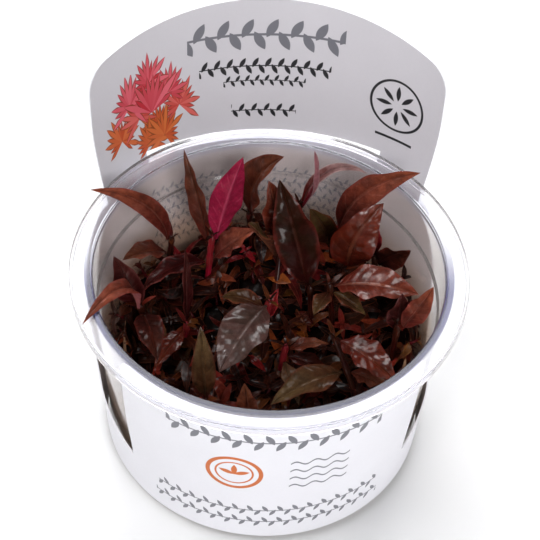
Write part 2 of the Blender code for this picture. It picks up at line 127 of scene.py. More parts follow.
def skin(rings: list[Ring], start: Vector, end: Vector) -> tuple[list[Vector], Faces]:
    """Joins closed rings of equal count into a skin that a pole closes at each end.

    Args:
        rings: the rings, each of which goes round anticlockwise seen from the end pole.
        start: the pole before the first ring.
        end: the pole after the last ring.

    Returns:
        The points in millimetres, and the faces, which point outwards.
    """
    count = len(rings[0])
    points = [p for ring in rings for p in ring] + [start, end]
    faces = []
    for row in range(len(rings) - 1):
        a, b = row * count, (row + 1) * count
        for i in range(count):
            j = (i + 1) % count
            faces.append((a + i, a + j, b + j, b + i))
    last = (len(rings) - 1) * count
    first_pole, last_pole = len(points) - 2, len(points) - 1
    for i in range(count):
        j = (i + 1) % count
        faces.append((j, i, first_pole))
        faces.append((last + i, last + j, last_pole))
    return points, faces


def lathe(profile: list[tuple[float, float]], sides: int) -> tuple[list[Vector], Faces]:
    """Turns a profile about Z.

    Args:
        profile: radius and height, from the axis below, outwards and round, to the axis above.
        sides: how many faces go round.

    Returns:
        The points and faces of the turned solid.
    """
    rings = [[Vector((r * cos(t), r * sin(t), z)) for t in circle(sides)] for r, z in profile[1:-1]]
    return skin(rings, Vector((0, 0, profile[0][1])), Vector((0, 0, profile[-1][1])))


def rounded(corners: list[tuple[tuple[float, float], float]], steps: int = 4) -> list[tuple[float, float]]:
    """Rounds the corners of an open profile with arcs.

    Args:
        corners: the profile's corners, each with how far before and after it its arc starts; 0
            keeps it sharp.
        steps: how many points an arc has beyond its first.

    Returns:
        The profile with its arcs.
    """
    out = []
    for k, (corner, radius) in enumerate(corners):
        if radius == 0:
            out.append(corner)
            continue
        c = Vector(corner)
        before, after = ((Vector(corners[k + side][0]) - c).normalized() * radius + c for side in (-1, 1))
        for step in range(steps + 1):
            t = step / steps
            out.append(tuple(before * (1 - t) ** 2 + c * 2 * t * (1 - t) + after * t ** 2))
    return out


def make_object(name: str, points: list, faces: list, materials: list,
                smooth: float = 60.0) -> bpy.types.Object:
    """Makes an object at the origin from points in millimetres.

    Args:
        name: the piece's name.
        points: its points, in millimetres.
        faces: its faces, by point.
        materials: the finishes of its slots.
        smooth: the angle in degrees past which an edge stays sharp.

    Returns:
        The object, in metres, linked to the scene.
    """
    mesh = bpy.data.meshes.new(name)
    mesh.from_pydata([Vector(p) * MM for p in points], [], faces)
    for finish in materials:
        mesh.materials.append(finish)
    mesh.shade_smooth()
    mesh.set_sharp_from_angle(angle=radians(smooth))
    piece = bpy.data.objects.new(name, mesh)
    bpy.context.scene.collection.objects.link(piece)
    return piece


def seat(piece: bpy.types.Object, slot: str, *nodes: str) -> None:
    """Joins a piece to the body, and puts it in the place of CAD nodes.

    Args:
        piece: the piece.
        slot: the record's name for its finish; not used.
        nodes: the CAD nodes that it stands in for.
    """
    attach(piece, BODY)
    if nodes:
        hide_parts(*nodes)
    faces = sum(len(p.vertices) - 2 for p in piece.data.polygons)
    log.info("%s: %d triangles", piece.name, faces)


class Value:
    """A node's output, which can be reckoned with like a number."""

    def __init__(self, tree: "Tree", socket: bpy.types.NodeSocket) -> None:
        """Keeps the output and its tree."""
        self.tree, self.socket = tree, socket

    def __add__(self, other: "Value | float") -> "Value":
        """The sum."""
        return self.tree.math("ADD", self, other)

    def __sub__(self, other: "Value | float") -> "Value":
        """The difference."""
        return self.tree.math("SUBTRACT", self, other)

    def __rsub__(self, other: float) -> "Value":
        """The difference from a number."""
        return self.tree.math("SUBTRACT", other, self)

    def __mul__(self, other: "Value | float") -> "Value":
        """The product."""
        return self.tree.math("MULTIPLY", self, other)

    def __truediv__(self, other: "Value | float") -> "Value":
        """The quotient."""
        return self.tree.math("DIVIDE", self, other)

    def __abs__(self) -> "Value":
        """The size without the sign."""
        return self.tree.math("ABSOLUTE", self)


def socket_of(sockets: bpy.types.bpy_prop_collection, key: int | str) -> bpy.types.NodeSocket:
    """A node's socket by number, or by name among those in use.

    Args:
        sockets: the node's inputs or its outputs.
        key: the number or the name.

    Returns:
        The input or output.
    """
    if isinstance(key, int):
        return sockets[key]
    named = [socket for socket in sockets if socket.name == key]
    return next((socket for socket in named if socket.enabled), named[0])


class Tree:
    """A node tree under construction, which adds nodes and joins them."""

    def __init__(self, tree: bpy.types.NodeTree) -> None:
        """Keeps the tree."""
        self.tree = tree

    def feed(self, node: bpy.types.Node, inputs: dict[int | str, object]) -> None:
        """Gives inputs of a node, by number or name, their values; None leaves one alone.

        Args:
            node: the node.
            inputs: the value of each input.
        """
        for key, value in inputs.items():
            socket = socket_of(node.inputs, key)
            if isinstance(value, Value):
                self.tree.links.new(value.socket, socket)
            elif socket.type == "RGBA":
                socket.default_value = (*value, 1.0)
            elif value is not None:
                socket.default_value = value

    def put(self, kind: str, inputs: tuple | dict = (), **settings: object) -> bpy.types.Node:
        """Adds a node.

        Args:
            kind: the node's type.
            inputs: its inputs' values, in order or by number or name.
            settings: the node's own properties.

        Returns:
            The node.
        """
        node = self.tree.nodes.new(kind)
        for key, value in settings.items():
            setattr(node, key, value)
        self.feed(node, inputs if isinstance(inputs, dict) else dict(enumerate(inputs)))
        return node

    def get(self, kind: str, inputs: tuple | dict = (), output: int | str = 0, **settings: object) -> Value:
        """Adds a node as put does, and gives one of its outputs."""
        return Value(self, socket_of(self.put(kind, inputs, **settings).outputs, output))

    def math(self, operation: str, *values: Value | float) -> Value:
        """A Math node's output."""
        return self.get("ShaderNodeMath", values, operation=operation)

    def vector(self, operation: str, *values: Value | tuple, output: str = "Vector") -> Value:
        """A Vector Math node's output."""
        return self.get("ShaderNodeVectorMath", values, output, operation=operation)

    def mix(self, factor: Value | float, a: Value | Colour, b: Value | Colour, blend: str = "MIX") -> Value:
        """A colour mix's output."""
        inputs = {"Factor": factor, "A": a, "B": b}
        return self.get("ShaderNodeMix", inputs, "Result", data_type="RGBA", blend_type=blend)

    def noise(self, place: Value, scale: float, detail: float = 3.0, rough: float = 0.55) -> Value:
        """A noise texture's value."""
        inputs = {"Vector": place, "Scale": scale, "Detail": detail, "Roughness": rough}
        return self.get("ShaderNodeTexNoise", inputs, "Fac")

    def span(self, value: Value, low: float, high: float, start: float = 0.0, stop: float = 1.0) -> Value:
        """A smooth rise of a value from start, at low, to stop, at high."""
        inputs = {"Value": value, "From Min": low, "From Max": high, "To Min": start, "To Max": stop}
        return self.get("ShaderNodeMapRange", inputs, interpolation_type="SMOOTHSTEP")

    def parts(self, vector: Value) -> list[Value]:
        """A vector's three parts."""
        return [Value(self, socket) for socket in self.put("ShaderNodeSeparateXYZ", (vector,)).outputs]

    def join(self, *parts: Value | float | None) -> Value:
        """A vector from its parts."""
        return self.get("ShaderNodeCombineXYZ", parts)

    def own(self) -> Value:
        """The place on the object, in metres."""
        return self.get("ShaderNodeTexCoord", output="Object")

    def uv(self) -> Value:
        """The place on the UV map."""
        return self.get("ShaderNodeUVMap", uv_map="UVMap")

    def attribute(self, name: str) -> Value:
        """A number stored on the mesh."""
        return self.get("ShaderNodeAttribute", output="Fac", attribute_name=name)

    def bump(self, height: Value, strength: float, distance: float) -> Value:
        """The normals of a surface that a value raises by up to a distance in metres."""
        return self.get("ShaderNodeBump", {"Height": height, "Strength": strength, "Distance": distance})

    def use(self, made: bpy.types.NodeTree, **inputs: object) -> dict[str, Value]:
        """Places a node group.

        Args:
            made: the group.
            inputs: its inputs by name, with underscores for spaces.

        Returns:
            Its outputs by name.
        """
        named = {key.replace("_", " "): value for key, value in inputs.items()}
        node = self.put("ShaderNodeGroup", (), node_tree=made)
        self.feed(node, named)
        return {socket.name: Value(self, socket) for socket in node.outputs}


class Group(Tree):
    """A shader node group under construction; at holds its inputs by name."""

    def __init__(self, name: str, inputs: dict[str, Kind | float], outputs: dict[str, Kind]) -> None:
        """Starts the group.

        Args:
            name: the group's name.
            inputs: by name, what each input carries, or a number's default.
            outputs: by name, what each output carries.
        """
        super().__init__(bpy.data.node_groups.new(name, "ShaderNodeTree"))
        new_socket = self.tree.interface.new_socket
        for key, value in inputs.items():
            if isinstance(value, Kind):
                new_socket(key, in_out="INPUT", socket_type=value.value)
            else:
                new_socket(key, in_out="INPUT", socket_type=Kind.NUMBER.value).default_value = value
        for key, kind in outputs.items():
            new_socket(key, in_out="OUTPUT", socket_type=kind.value)
        start = self.put("NodeGroupInput")
        self.at = {key: Value(self, start.outputs[key]) for key in inputs}

    def close(self, outputs: dict[str, Value]) -> bpy.types.NodeTree:
        """Feeds the group's outputs and hands the group over."""
        self.feed(self.put("NodeGroupOutput"), outputs)
        return self.tree


def principled(name: str, **constants: float) -> tuple[bpy.types.Material, Tree, bpy.types.Node]:
    """Starts a material on its Principled shader.

    Args:
        name: the material's name.
        constants: values of the shader's own sockets, with underscores for spaces.

    Returns:
        The material, its Tree and its shader.
    """
    finish = bpy.data.materials.new(name)
    finish.use_nodes = True
    shader = finish.node_tree.nodes["Principled BSDF"]
    for key, value in constants.items():
        shader.inputs[key.replace("_", " ")].default_value = value
    return finish, Tree(finish.node_tree), shader


def srgb(red: int, green: int, blue: int) -> Colour:
    """A colour given as it shows on a screen, in linear light."""
    return tuple(((c / 255 + 0.055) / 1.055) ** 2.4 if c > 10 else c / 3294.6 for c in (red, green, blue))


# The prints on the card: generic marks in millimetres on the flat sheet

UV_REACH = 100.0
SOFT_EDGE = 0.08
FINE_EDGE = 0.06


@cache
def lens_group() -> bpy.types.NodeTree:
    """A single pointed leaf shape.

    Returns:
        The group.
    """
    tree = Group("leaf mark", {"Place": Kind.VECTOR, "Centre": Kind.VECTOR, "Turn": 0.0, "Length": 6.0,
                               "Width": 2.0}, {"Mask": Kind.NUMBER})
    at = tree.at
    turn = tree.join(None, None, at["Turn"])
    inputs = {"Vector": at["Place"], "Location": at["Centre"], "Rotation": turn}
    x, y, _ = tree.parts(tree.get("ShaderNodeMapping", inputs, vector_type="TEXTURE"))
    share = x / (at["Length"] * 0.5)
    reach = (1.0 - share * share) * (at["Width"] * 0.5)
    return tree.close({"Mask": tree.span(reach - abs(y), -SOFT_EDGE, SOFT_EDGE)})


@cache
def ring_group() -> bpy.types.NodeTree:
    """A ring.

    Returns:
        The group.
    """
    tree = Group("ring mark", {"Place": Kind.VECTOR, "Centre": Kind.VECTOR, "Radius": 5.0, "Width": 1.0},
                 {"Mask": Kind.NUMBER})
    at = tree.at
    off = abs(tree.vector("DISTANCE", at["Place"], at["Centre"], output="Value") - at["Radius"])
    return tree.close({"Mask": tree.span(at["Width"] * 0.5 - off, -SOFT_EDGE, SOFT_EDGE)})


@cache
def wave_group() -> bpy.types.NodeTree:
    """A rule with a wave in it, straight where its rise is 0.

    Returns:
        The group.
    """
    tree = Group("rule mark", {"Place": Kind.VECTOR, "Centre": Kind.VECTOR, "Half Length": 20.0,
                               "Width": 0.6, "Rise": 0.0, "Step": 6.0}, {"Mask": Kind.NUMBER})
    at = tree.at
    x, y, _ = tree.parts(tree.vector("SUBTRACT", at["Place"], at["Centre"]))
    wave = tree.math("SINE", x * (2 * pi) / at["Step"]) * at["Rise"]
    across = at["Width"] * 0.5 - abs(y - wave)
    along = at["Half Length"] - abs(x)
    return tree.close({"Mask": tree.span(tree.math("MINIMUM", across, along), -FINE_EDGE, FINE_EDGE)})


@cache
def garland_group() -> bpy.types.NodeTree:
    """A row of pointed leaves that lean in turn above and below a thin stalk.

    Returns:
        The group.
    """
    tree = Group("garland mark", {"Place": Kind.VECTOR, "Centre": Kind.VECTOR, "Half Length": 20.0,
                                  "Step": 3.0, "Length": 5.0, "Width": 2.0, "Stalk": 0.4},
                 {"Mask": Kind.NUMBER})
    at = tree.at
    x, y, _ = tree.parts(tree.vector("SUBTRACT", at["Place"], at["Centre"]))
    cell = tree.math("FLOOR", x / at["Step"])
    middle = (cell + 0.5) * at["Step"]
    side = 1.0 - tree.math("FLOORED_MODULO", cell, 2.0) * 2.0
    flat = tree.join(x - middle, y * side - at["Length"] * 0.3, 0.0)
    leaf = tree.use(lens_group(), Place=flat, Turn=radians(62), Length=at["Length"], Width=at["Width"])
    stalk = tree.span(at["Stalk"] * 0.5 - abs(y), -FINE_EDGE, FINE_EDGE)
    ends = tree.math("GREATER_THAN", at["Half Length"], abs(x))
    return tree.close({"Mask": tree.math("MAXIMUM", leaf["Mask"], stalk) * ends})


@cache
def fan_group() -> bpy.types.NodeTree:
    """Pointed leaves of uneven length that spread upwards from one foot.

    Returns:
        The group.
    """
    tree = Group("fan mark", {"Place": Kind.VECTOR, "Centre": Kind.VECTOR, "Step": 0.4, "Start": 0.0,
                              "Length": 14.0, "Width": 0.16, "Spread": 1.5},
                 {"Mask": Kind.NUMBER, "Shade": Kind.NUMBER})
    at = tree.at
    x, y, _ = tree.parts(tree.vector("SUBTRACT", at["Place"], at["Centre"]))
    angle = tree.math("ARCTAN2", x, y)
    cell = tree.math("ROUND", (angle - at["Start"]) / at["Step"])
    middle = cell * at["Step"] + at["Start"]
    turn = angle - middle
    reach = tree.vector("DISTANCE", at["Place"], at["Centre"], output="Value")
    chance = tree.get("ShaderNodeTexWhiteNoise", {"W": middle}, "Value", noise_dimensions="1D")
    length = at["Length"] * tree.span(chance, 0.0, 1.0, 0.62, 1.0)
    share = reach * tree.math("COSINE", turn) / length
    half = share * (1.0 - share) * length * at["Width"]
    inside = tree.span(half - reach * abs(tree.math("SINE", turn)), -0.05, SOFT_EDGE)
    fit = tree.math("GREATER_THAN", at["Spread"], abs(middle))
    return tree.close({"Mask": inside * fit, "Shade": chance})


@dataclass(frozen=True)
class Pen:
    """Draws marks on the flat card, from a middle line across a sheet."""

    tree: Tree
    place: Value
    across: float = 0.0

    def draw(self, made: bpy.types.NodeTree, s: float, z: float, **sizes: float) -> Value:
        """The mask of a mark whose centre is at a place on the card."""
        return self.tree.use(made, Place=self.place, Centre=(self.across + s, z, 0.0), **sizes)["Mask"]

    def garland(self, s: float, z: float, half: float, step: float, *leaf: float) -> Value:
        """The mask of a garland, from its half length, step, and a leaf's length, width and stalk."""
        sizes = dict(zip(("Length", "Width", "Stalk"), leaf))
        return self.draw(garland_group(), s, z, Half_Length=half, Step=step, **sizes)

    def star(self, s: float, z: float, radius: float, turns: Sequence[float],
             **sizes: float) -> list[Value]:
        """The masks of leaves that point outwards round a place."""
        return [self.draw(lens_group(), s + radius * cos(turn), z + radius * sin(turn), Turn=turn, **sizes)
                for turn in turns]


@dataclass(frozen=True)
class CardFinish:
    """Thin coated card with its generic print; one face of it looks out and the other in."""

    face: Face
    paper: Colour
    grey: Colour = srgb(118, 118, 126)
    dark: Colour = srgb(40, 40, 44)
    orange: Colour = srgb(206, 104, 34)
    # The inside face's greyer tone below the cup's rim: painted shade where the cup and the plant shadow
    # the card.
    painted_shade: Colour = srgb(178, 168, 168)
    badge: tuple[float, float] = (9.6, 32.5)
    badge_rings: tuple[tuple[float, float], ...] = ((6.6, 1.1), (4.6, 0.5))
    badge_leaves: tuple[float, ...] = (0.35, 1.57, 2.79)
    wave_place: float = -11.5
    waves: tuple[float, ...] = (37.5, 34.0, 30.5, 27.0)
    foot_rows: tuple[tuple[float, float], ...] = ((15.2, 30.0), (9.6, 31.0))
    title: float = 91.0
    title_rows: tuple[tuple[float, ...], ...] = ((81.4, 17.6, 1.7, 3.4), (76.8, 11.0, 1.3, 2.4),
                                                 (67.2, 8.8, 1.7, 3.0))
    squash: float = 0.6
    picture: tuple[float, float] = (-31.2, 43.6)
    picture_reach: tuple[float, float] = (12.6, 6.6)
    pitch: float = 11.6
    tuft_length: float = 6.4
    crown_length: float = 9.8
    tufts: tuple[tuple[float, float], ...] = ((0.0, 0.0), (5.8, 2.9), (2.9, 5.8), (8.7, 8.7), (1.4, 9.4))
    blades: tuple[tuple[float, Colour, Colour, Colour, Colour], ...] = (
        (0.46, srgb(122, 44, 30), srgb(150, 62, 40), srgb(112, 52, 28), srgb(140, 70, 34)),
        (0.30, srgb(190, 44, 56), srgb(228, 108, 122), srgb(196, 80, 44), srgb(216, 116, 62)))
    notes: tuple[float, ...] = (46.0, 42.6, 39.2, 35.8, 32.4, 29.0)
    rosette: tuple[float, float] = (36.6, 77.0)
    rosette_leaves: int = 8
    rule: float = 66.4

    def build(self) -> bpy.types.Material:
        """Makes the card's material with the marks of its face.

        Returns:
            The material.
        """
        finish, tree, shader = principled("card " + self.face.name.lower(), Specular_IOR_Level=0.45,
                                          Coat_Roughness=0.35)
        place = tree.get("ShaderNodeVectorMath", {0: tree.uv(), "Scale": UV_REACH}, operation="SCALE")
        own = tree.own()
        fibre = tree.noise(own, 1400.0, 5.0, 0.7)
        cloud = tree.span(tree.noise(own, 60.0, 2.0), 0.3, 0.7, 0.0, 0.25)
        dull, fleck = (tuple(c * share for c in self.paper) for share in (0.9, 0.8))
        colour = tree.mix(cloud, self.paper, dull)
        colour = tree.mix(tree.span(fibre, 0.25, 0.75, 0.0, 0.10), colour, fleck)
        # On the inside face the paper greys below the cup's rim: painted shade cast by the cup and the
        # plant.
        if self.face is Face.INSIDE:
            colour = tree.mix(tree.span(tree.parts(place)[1], 60.0, 50.0), colour, self.painted_shade)
        inked = 0.0
        if self.face is Face.OUTSIDE:
            marks = self.front(Pen(tree, place, CardWrap.FRONT_PLACE))
        else:
            marks = self.header(Pen(tree, place))
        for mask, ink in marks:
            colour = tree.mix(mask, colour, ink)
            inked = tree.math("MAXIMUM", mask, inked)
        tree.feed(shader, {"Base Color": colour, "Normal": tree.bump(fibre, 0.25, 0.00006),
                           "Roughness": tree.span(fibre, 0.2, 0.8, 0.42, 0.56) - inked * 0.12})
        return finish

    def front(self, pen: Pen) -> Iterator[tuple[Value, Colour]]:
        """The front panel's marks and inks: a garland, a ringed leaf, small waves and two low garlands.

        Args:
            pen: what draws them.

        Returns:
            Each mark's mask and ink.
        """
        yield pen.garland(0.0, 47.2, 27.3, 2.6, 4.6, 1.7, 0.45), self.grey
        s, z = self.badge
        for radius, width in self.badge_rings:
            yield pen.draw(ring_group(), s, z, Radius=radius, Width=width), self.orange
        for leaf in pen.star(s, z - 0.4, 1.9, self.badge_leaves, Length=4.4, Width=1.5):
            yield leaf, self.orange
        for z in self.waves:
            wave = pen.draw(wave_group(), self.wave_place, z, Half_Length=7.5, Width=0.6, Rise=0.7,
                            Step=5.0)
            yield wave, self.grey
        for z, half in self.foot_rows:
            yield pen.garland(0.5, z, half, 1.9, 3.2, 1.1, 0.35), self.grey

    def header(self, pen: Pen) -> Iterator[tuple[Value, Colour | Value]]:
        """The header's marks and inks: garlands, a bush, small garlands low down, and a ringed rosette.

        Args:
            pen: what draws them.

        Returns:
            Each mark's mask and ink.
        """
        yield pen.garland(0.0, self.title, 20.8, 3.2, 6.2, 2.5, 0.7), self.grey
        for z, half, step, size in self.title_rows:
            yield pen.garland(0.0, z, half, step, size, size * 0.36, size * 0.1), self.dark
        yield from self.bush(pen)
        for z in self.notes:
            yield pen.garland(0.0, z, 33.0, 1.5, 2.2, 0.7, 0.2), self.grey
        s, z = self.rosette
        yield pen.draw(ring_group(), s, z, Radius=7.6, Width=0.7), self.dark
        for leaf in pen.star(s, z, 3.9, circle(self.rosette_leaves), Length=4.6, Width=1.3):
            yield leaf, self.dark
        yield pen.draw(wave_group(), s, self.rule, Half_Length=5.5, Width=0.8), self.dark

    def bush(self, pen: Pen) -> Iterator[tuple[Value, Value]]:
        """A bush of pointed leaves, red above and orange below: tufts on a few grids, and a crown.

        Args:
            pen: what draws them.

        Returns:
            Each layer's mask and ink.
        """
        tree = pen.tree
        tall = tree.vector("MULTIPLY", pen.place, (1.0, self.squash, 1.0))
        middle = (*self.picture, 0.0)
        for across, over in self.tufts:
            shifted = tree.vector("SUBTRACT", tall, (across, over, 0))
            corner = tree.vector("SNAP", shifted, (self.pitch,) * 3)
            centre = tree.vector("ADD", corner, (across + self.pitch / 2, over + self.pitch / 2, 0))
            off = tree.vector("DIVIDE", tree.vector("SUBTRACT", centre, middle), (*self.picture_reach, 1.0))
            inside = tree.math("LESS_THAN", tree.vector("LENGTH", off, output="Value"), 1.0)
            x, y, _ = tree.parts(off)
            start, warm = x * 0.37, tree.span(y, 0.4, -0.6)
            for wide, red, pink, brown, orange in self.blades:
                tuft = tree.use(fan_group(), Place=tall, Centre=centre, Step=0.31, Start=start,
                                Length=self.tuft_length, Width=wide, Spread=2.3)
                ink = tree.mix(tuft["Shade"], tree.mix(warm, red, brown), tree.mix(warm, pink, orange))
                yield tuft["Mask"] * inside, ink
        for wide, red, pink, _, _ in self.blades:
            crown = tree.use(fan_group(), Place=tall, Centre=middle, Step=0.26, Start=0.1,
                             Length=self.crown_length, Width=wide, Spread=1.2)
            yield crown["Mask"], tree.mix(crown["Shade"], red, pink)


@dataclass(frozen=True)
class ClearPlastic:
    """Clear moulded plastic, tinted by its place, which lets light through to what it shades."""

    height: float
    mouth_radius: float
    flange: Colour = (0.86, 0.86, 0.91)
    wall: Colour = (0.86, 0.82, 0.80)
    low: Colour = (0.70, 0.54, 0.42)
    # A painted reflection of the plants in the rim: the bluish dark band inside the front of the lip.
    lip: Colour = (0.13, 0.13, 0.25)
    shadow: Colour = (0.93, 0.94, 0.955)

    def tint(self, tree: Tree, own: Value) -> Value:
        """The plastic's tint: warmer low on the wall, and inside the front of the rim a bluish dark band
        that is a painted reflection of the plants.

        Args:
            tree: the material's tree.
            own: the place on the cup, in metres.

        Returns:
            The colour.
        """
        x, y, z = tree.parts(own)
        level, away = z / MM, tree.math("SQRT", x * x + y * y) / MM
        upper = tree.span(level, self.height - 2.6, self.height - 1.6)
        # A band just inside the rim, strongest at the front, takes the lip tint: a painted reflection of
        # the dark plants.
        ring = upper * tree.span(away, self.mouth_radius + 1.5, self.mouth_radius + 1.0)
        ring = ring * tree.span(y, 12.0 * MM, -12.0 * MM, 0.15, 1.0)
        wall = tree.mix(tree.span(level, 30.0, 46.0), self.low, self.wall)
        return tree.mix(ring, tree.mix(upper, wall, self.flange), self.lip)

    def build(self) -> bpy.types.Material:
        """Makes the material.

        Returns:
            The material.
        """
        clear, tree, shader = principled("clear plastic", IOR=1.49, Transmission_Weight=0.95,
                                         Specular_IOR_Level=0.3)
        own = tree.own()
        haze = tree.noise(own, 90.0, 4.0)
        scuff = tree.noise(tree.vector("MULTIPLY", own, (300.0, 300.0, 2500.0)), 1.0, 2.0)
        rough = tree.span(haze, 0.35, 0.75, 0.08, 0.15) + tree.span(scuff, 0.62, 0.8, 0.0, 0.05)
        tree.feed(shader, {"Base Color": self.tint(tree, own), "Roughness": rough,
                           "Normal": tree.bump(haze, 0.15, 0.0002)})
        shadow = tree.get("ShaderNodeLightPath", output="Is Shadow Ray")
        through = tree.get("ShaderNodeBsdfTransparent", {"Color": self.shadow})
        shown = tree.get("ShaderNodeMixShader", (shadow, Value(tree, shader.outputs[0]), through))
        tree.feed(clear.node_tree.nodes["Material Output"], {"Surface": shown})
        return clear


@dataclass
class Cup:
    """The clear cup, which every other piece stands in or round."""

    height: float = 60.0
    flange_radius: float = 50.0
    flange_thickness: float = 1.2
    flange_edge: float = 0.4
    skirt_drop: float = 2.8
    skirt_thickness: float = 0.8
    base_radius: float = 43.0
    base_round: float = 1.5
    mouth_radius: float = 45.0
    lip_slant: float = 0.5
    wall: float = 0.8
    floor: float = 1.2
    ledge_height: float = 49.0
    ledge_step: float = 0.6
    sides: int = 144

    def radius(self, z: float) -> float:
        """The outer radius of the tapering wall at a height."""
        return self.base_radius + (self.mouth_radius - self.base_radius) * z / self.height

    def profile(self) -> list[tuple[float, float]]:
        """The cup's half section, from the axis below round its outside to the axis above the floor.

        Returns:
            The radius and height of each point, with rounded corners.
        """
        under = self.height - self.flange_thickness
        skirt_foot = self.height - self.skirt_drop
        skirt_inside = self.flange_radius - self.skirt_thickness
        lip = self.radius(under) - self.wall + self.lip_slant
        above_ledge = self.radius(self.ledge_height) - self.wall
        below_ledge = above_ledge - self.ledge_step
        inner_round = self.floor + self.base_round
        inner_foot = self.radius(inner_round) - self.wall - self.ledge_step
        return rounded([
            ((0, 0), 0),
            ((self.base_radius - self.base_round / 2, 0), 1.2),
            ((self.radius(under), under), 0.25),
            ((skirt_inside, under), 0.25),
            ((skirt_inside, skirt_foot), 0.2),
            ((self.flange_radius, skirt_foot), 0.2),
            ((self.flange_radius, self.height), self.flange_edge),
            ((lip, self.height), 0.35),
            ((lip - self.lip_slant, under), 0.3),
            ((above_ledge, self.ledge_height), 0.2),
            ((below_ledge, self.ledge_height - self.ledge_step), 0.2),
            ((inner_foot, inner_round), 0.8),
            ((inner_foot - self.base_round, self.floor), 0.6),
            ((0, self.floor), 0),
        ])

    def build(self) -> None:
        """Makes the cup."""
        points, faces = lathe(self.profile(), self.sides)
        finish = ClearPlastic(self.height, self.mouth_radius).build()
        seat(make_object("clear_cup", points, faces, [finish], 40.0), "clear_cup", "cup")


@dataclass(frozen=True)
class CloudyGel:
    """Cloudy gel with fine pale roots drawn in patches."""

    light: Colour = srgb(196, 190, 172)
    dark: Colour = srgb(150, 142, 126)
    root: Colour = srgb(226, 218, 200)

    def build(self) -> bpy.types.Material:
        """Makes the material.

        Returns:
            The material.
        """
        cloudy, tree, shader = principled("cloudy gel", Roughness=0.12, Coat_Weight=0.6,
                                          Coat_Roughness=0.04)
        own = tree.own()
        cloud = tree.noise(own, 130.0, 5.0)
        cells = tree.get("ShaderNodeTexVoronoi", {"Vector": own, "Scale": 420.0}, "Distance",
                         feature="DISTANCE_TO_EDGE")
        roots = tree.span(cells, 0.02, 0.07, 1.0, 0.0) * tree.span(tree.noise(own, 70.0, 2.0), 0.5, 0.62)
        colour = tree.mix(tree.span(cloud, 0.3, 0.7), self.light, self.dark)
        tree.feed(shader, {"Base Color": tree.mix(roots, colour, self.root),
                           "Normal": tree.bump(cloud, 0.4, 0.0004)})
        return cloudy


@dataclass
class Gel:
    """The disc of cloudy growing gel in the cup's foot."""

    cup: Cup
    top: float = 12.0
    radius: float = 41.6
    foot_radius: float = 39.6
    round: float = 2.0
    gap: float = 0.3
    sides: int = 96

    def build(self) -> None:
        """Makes the gel."""
        foot = self.cup.floor + self.gap
        shoulder = self.cup.radius(foot) - self.cup.wall - self.cup.ledge_step - self.gap
        corners = [((0, foot), 0), ((self.foot_radius, foot), 0.8), ((shoulder, foot + self.round), 0.8),
                   ((self.radius, self.top), 0.7), ((0, self.top), 0)]
        points, faces = lathe(rounded(corners), self.sides)
        piece = make_object("growing_gel_disc", points, faces, [CloudyGel().build()], 40.0)
        seat(piece, "gel", "growing_gel")


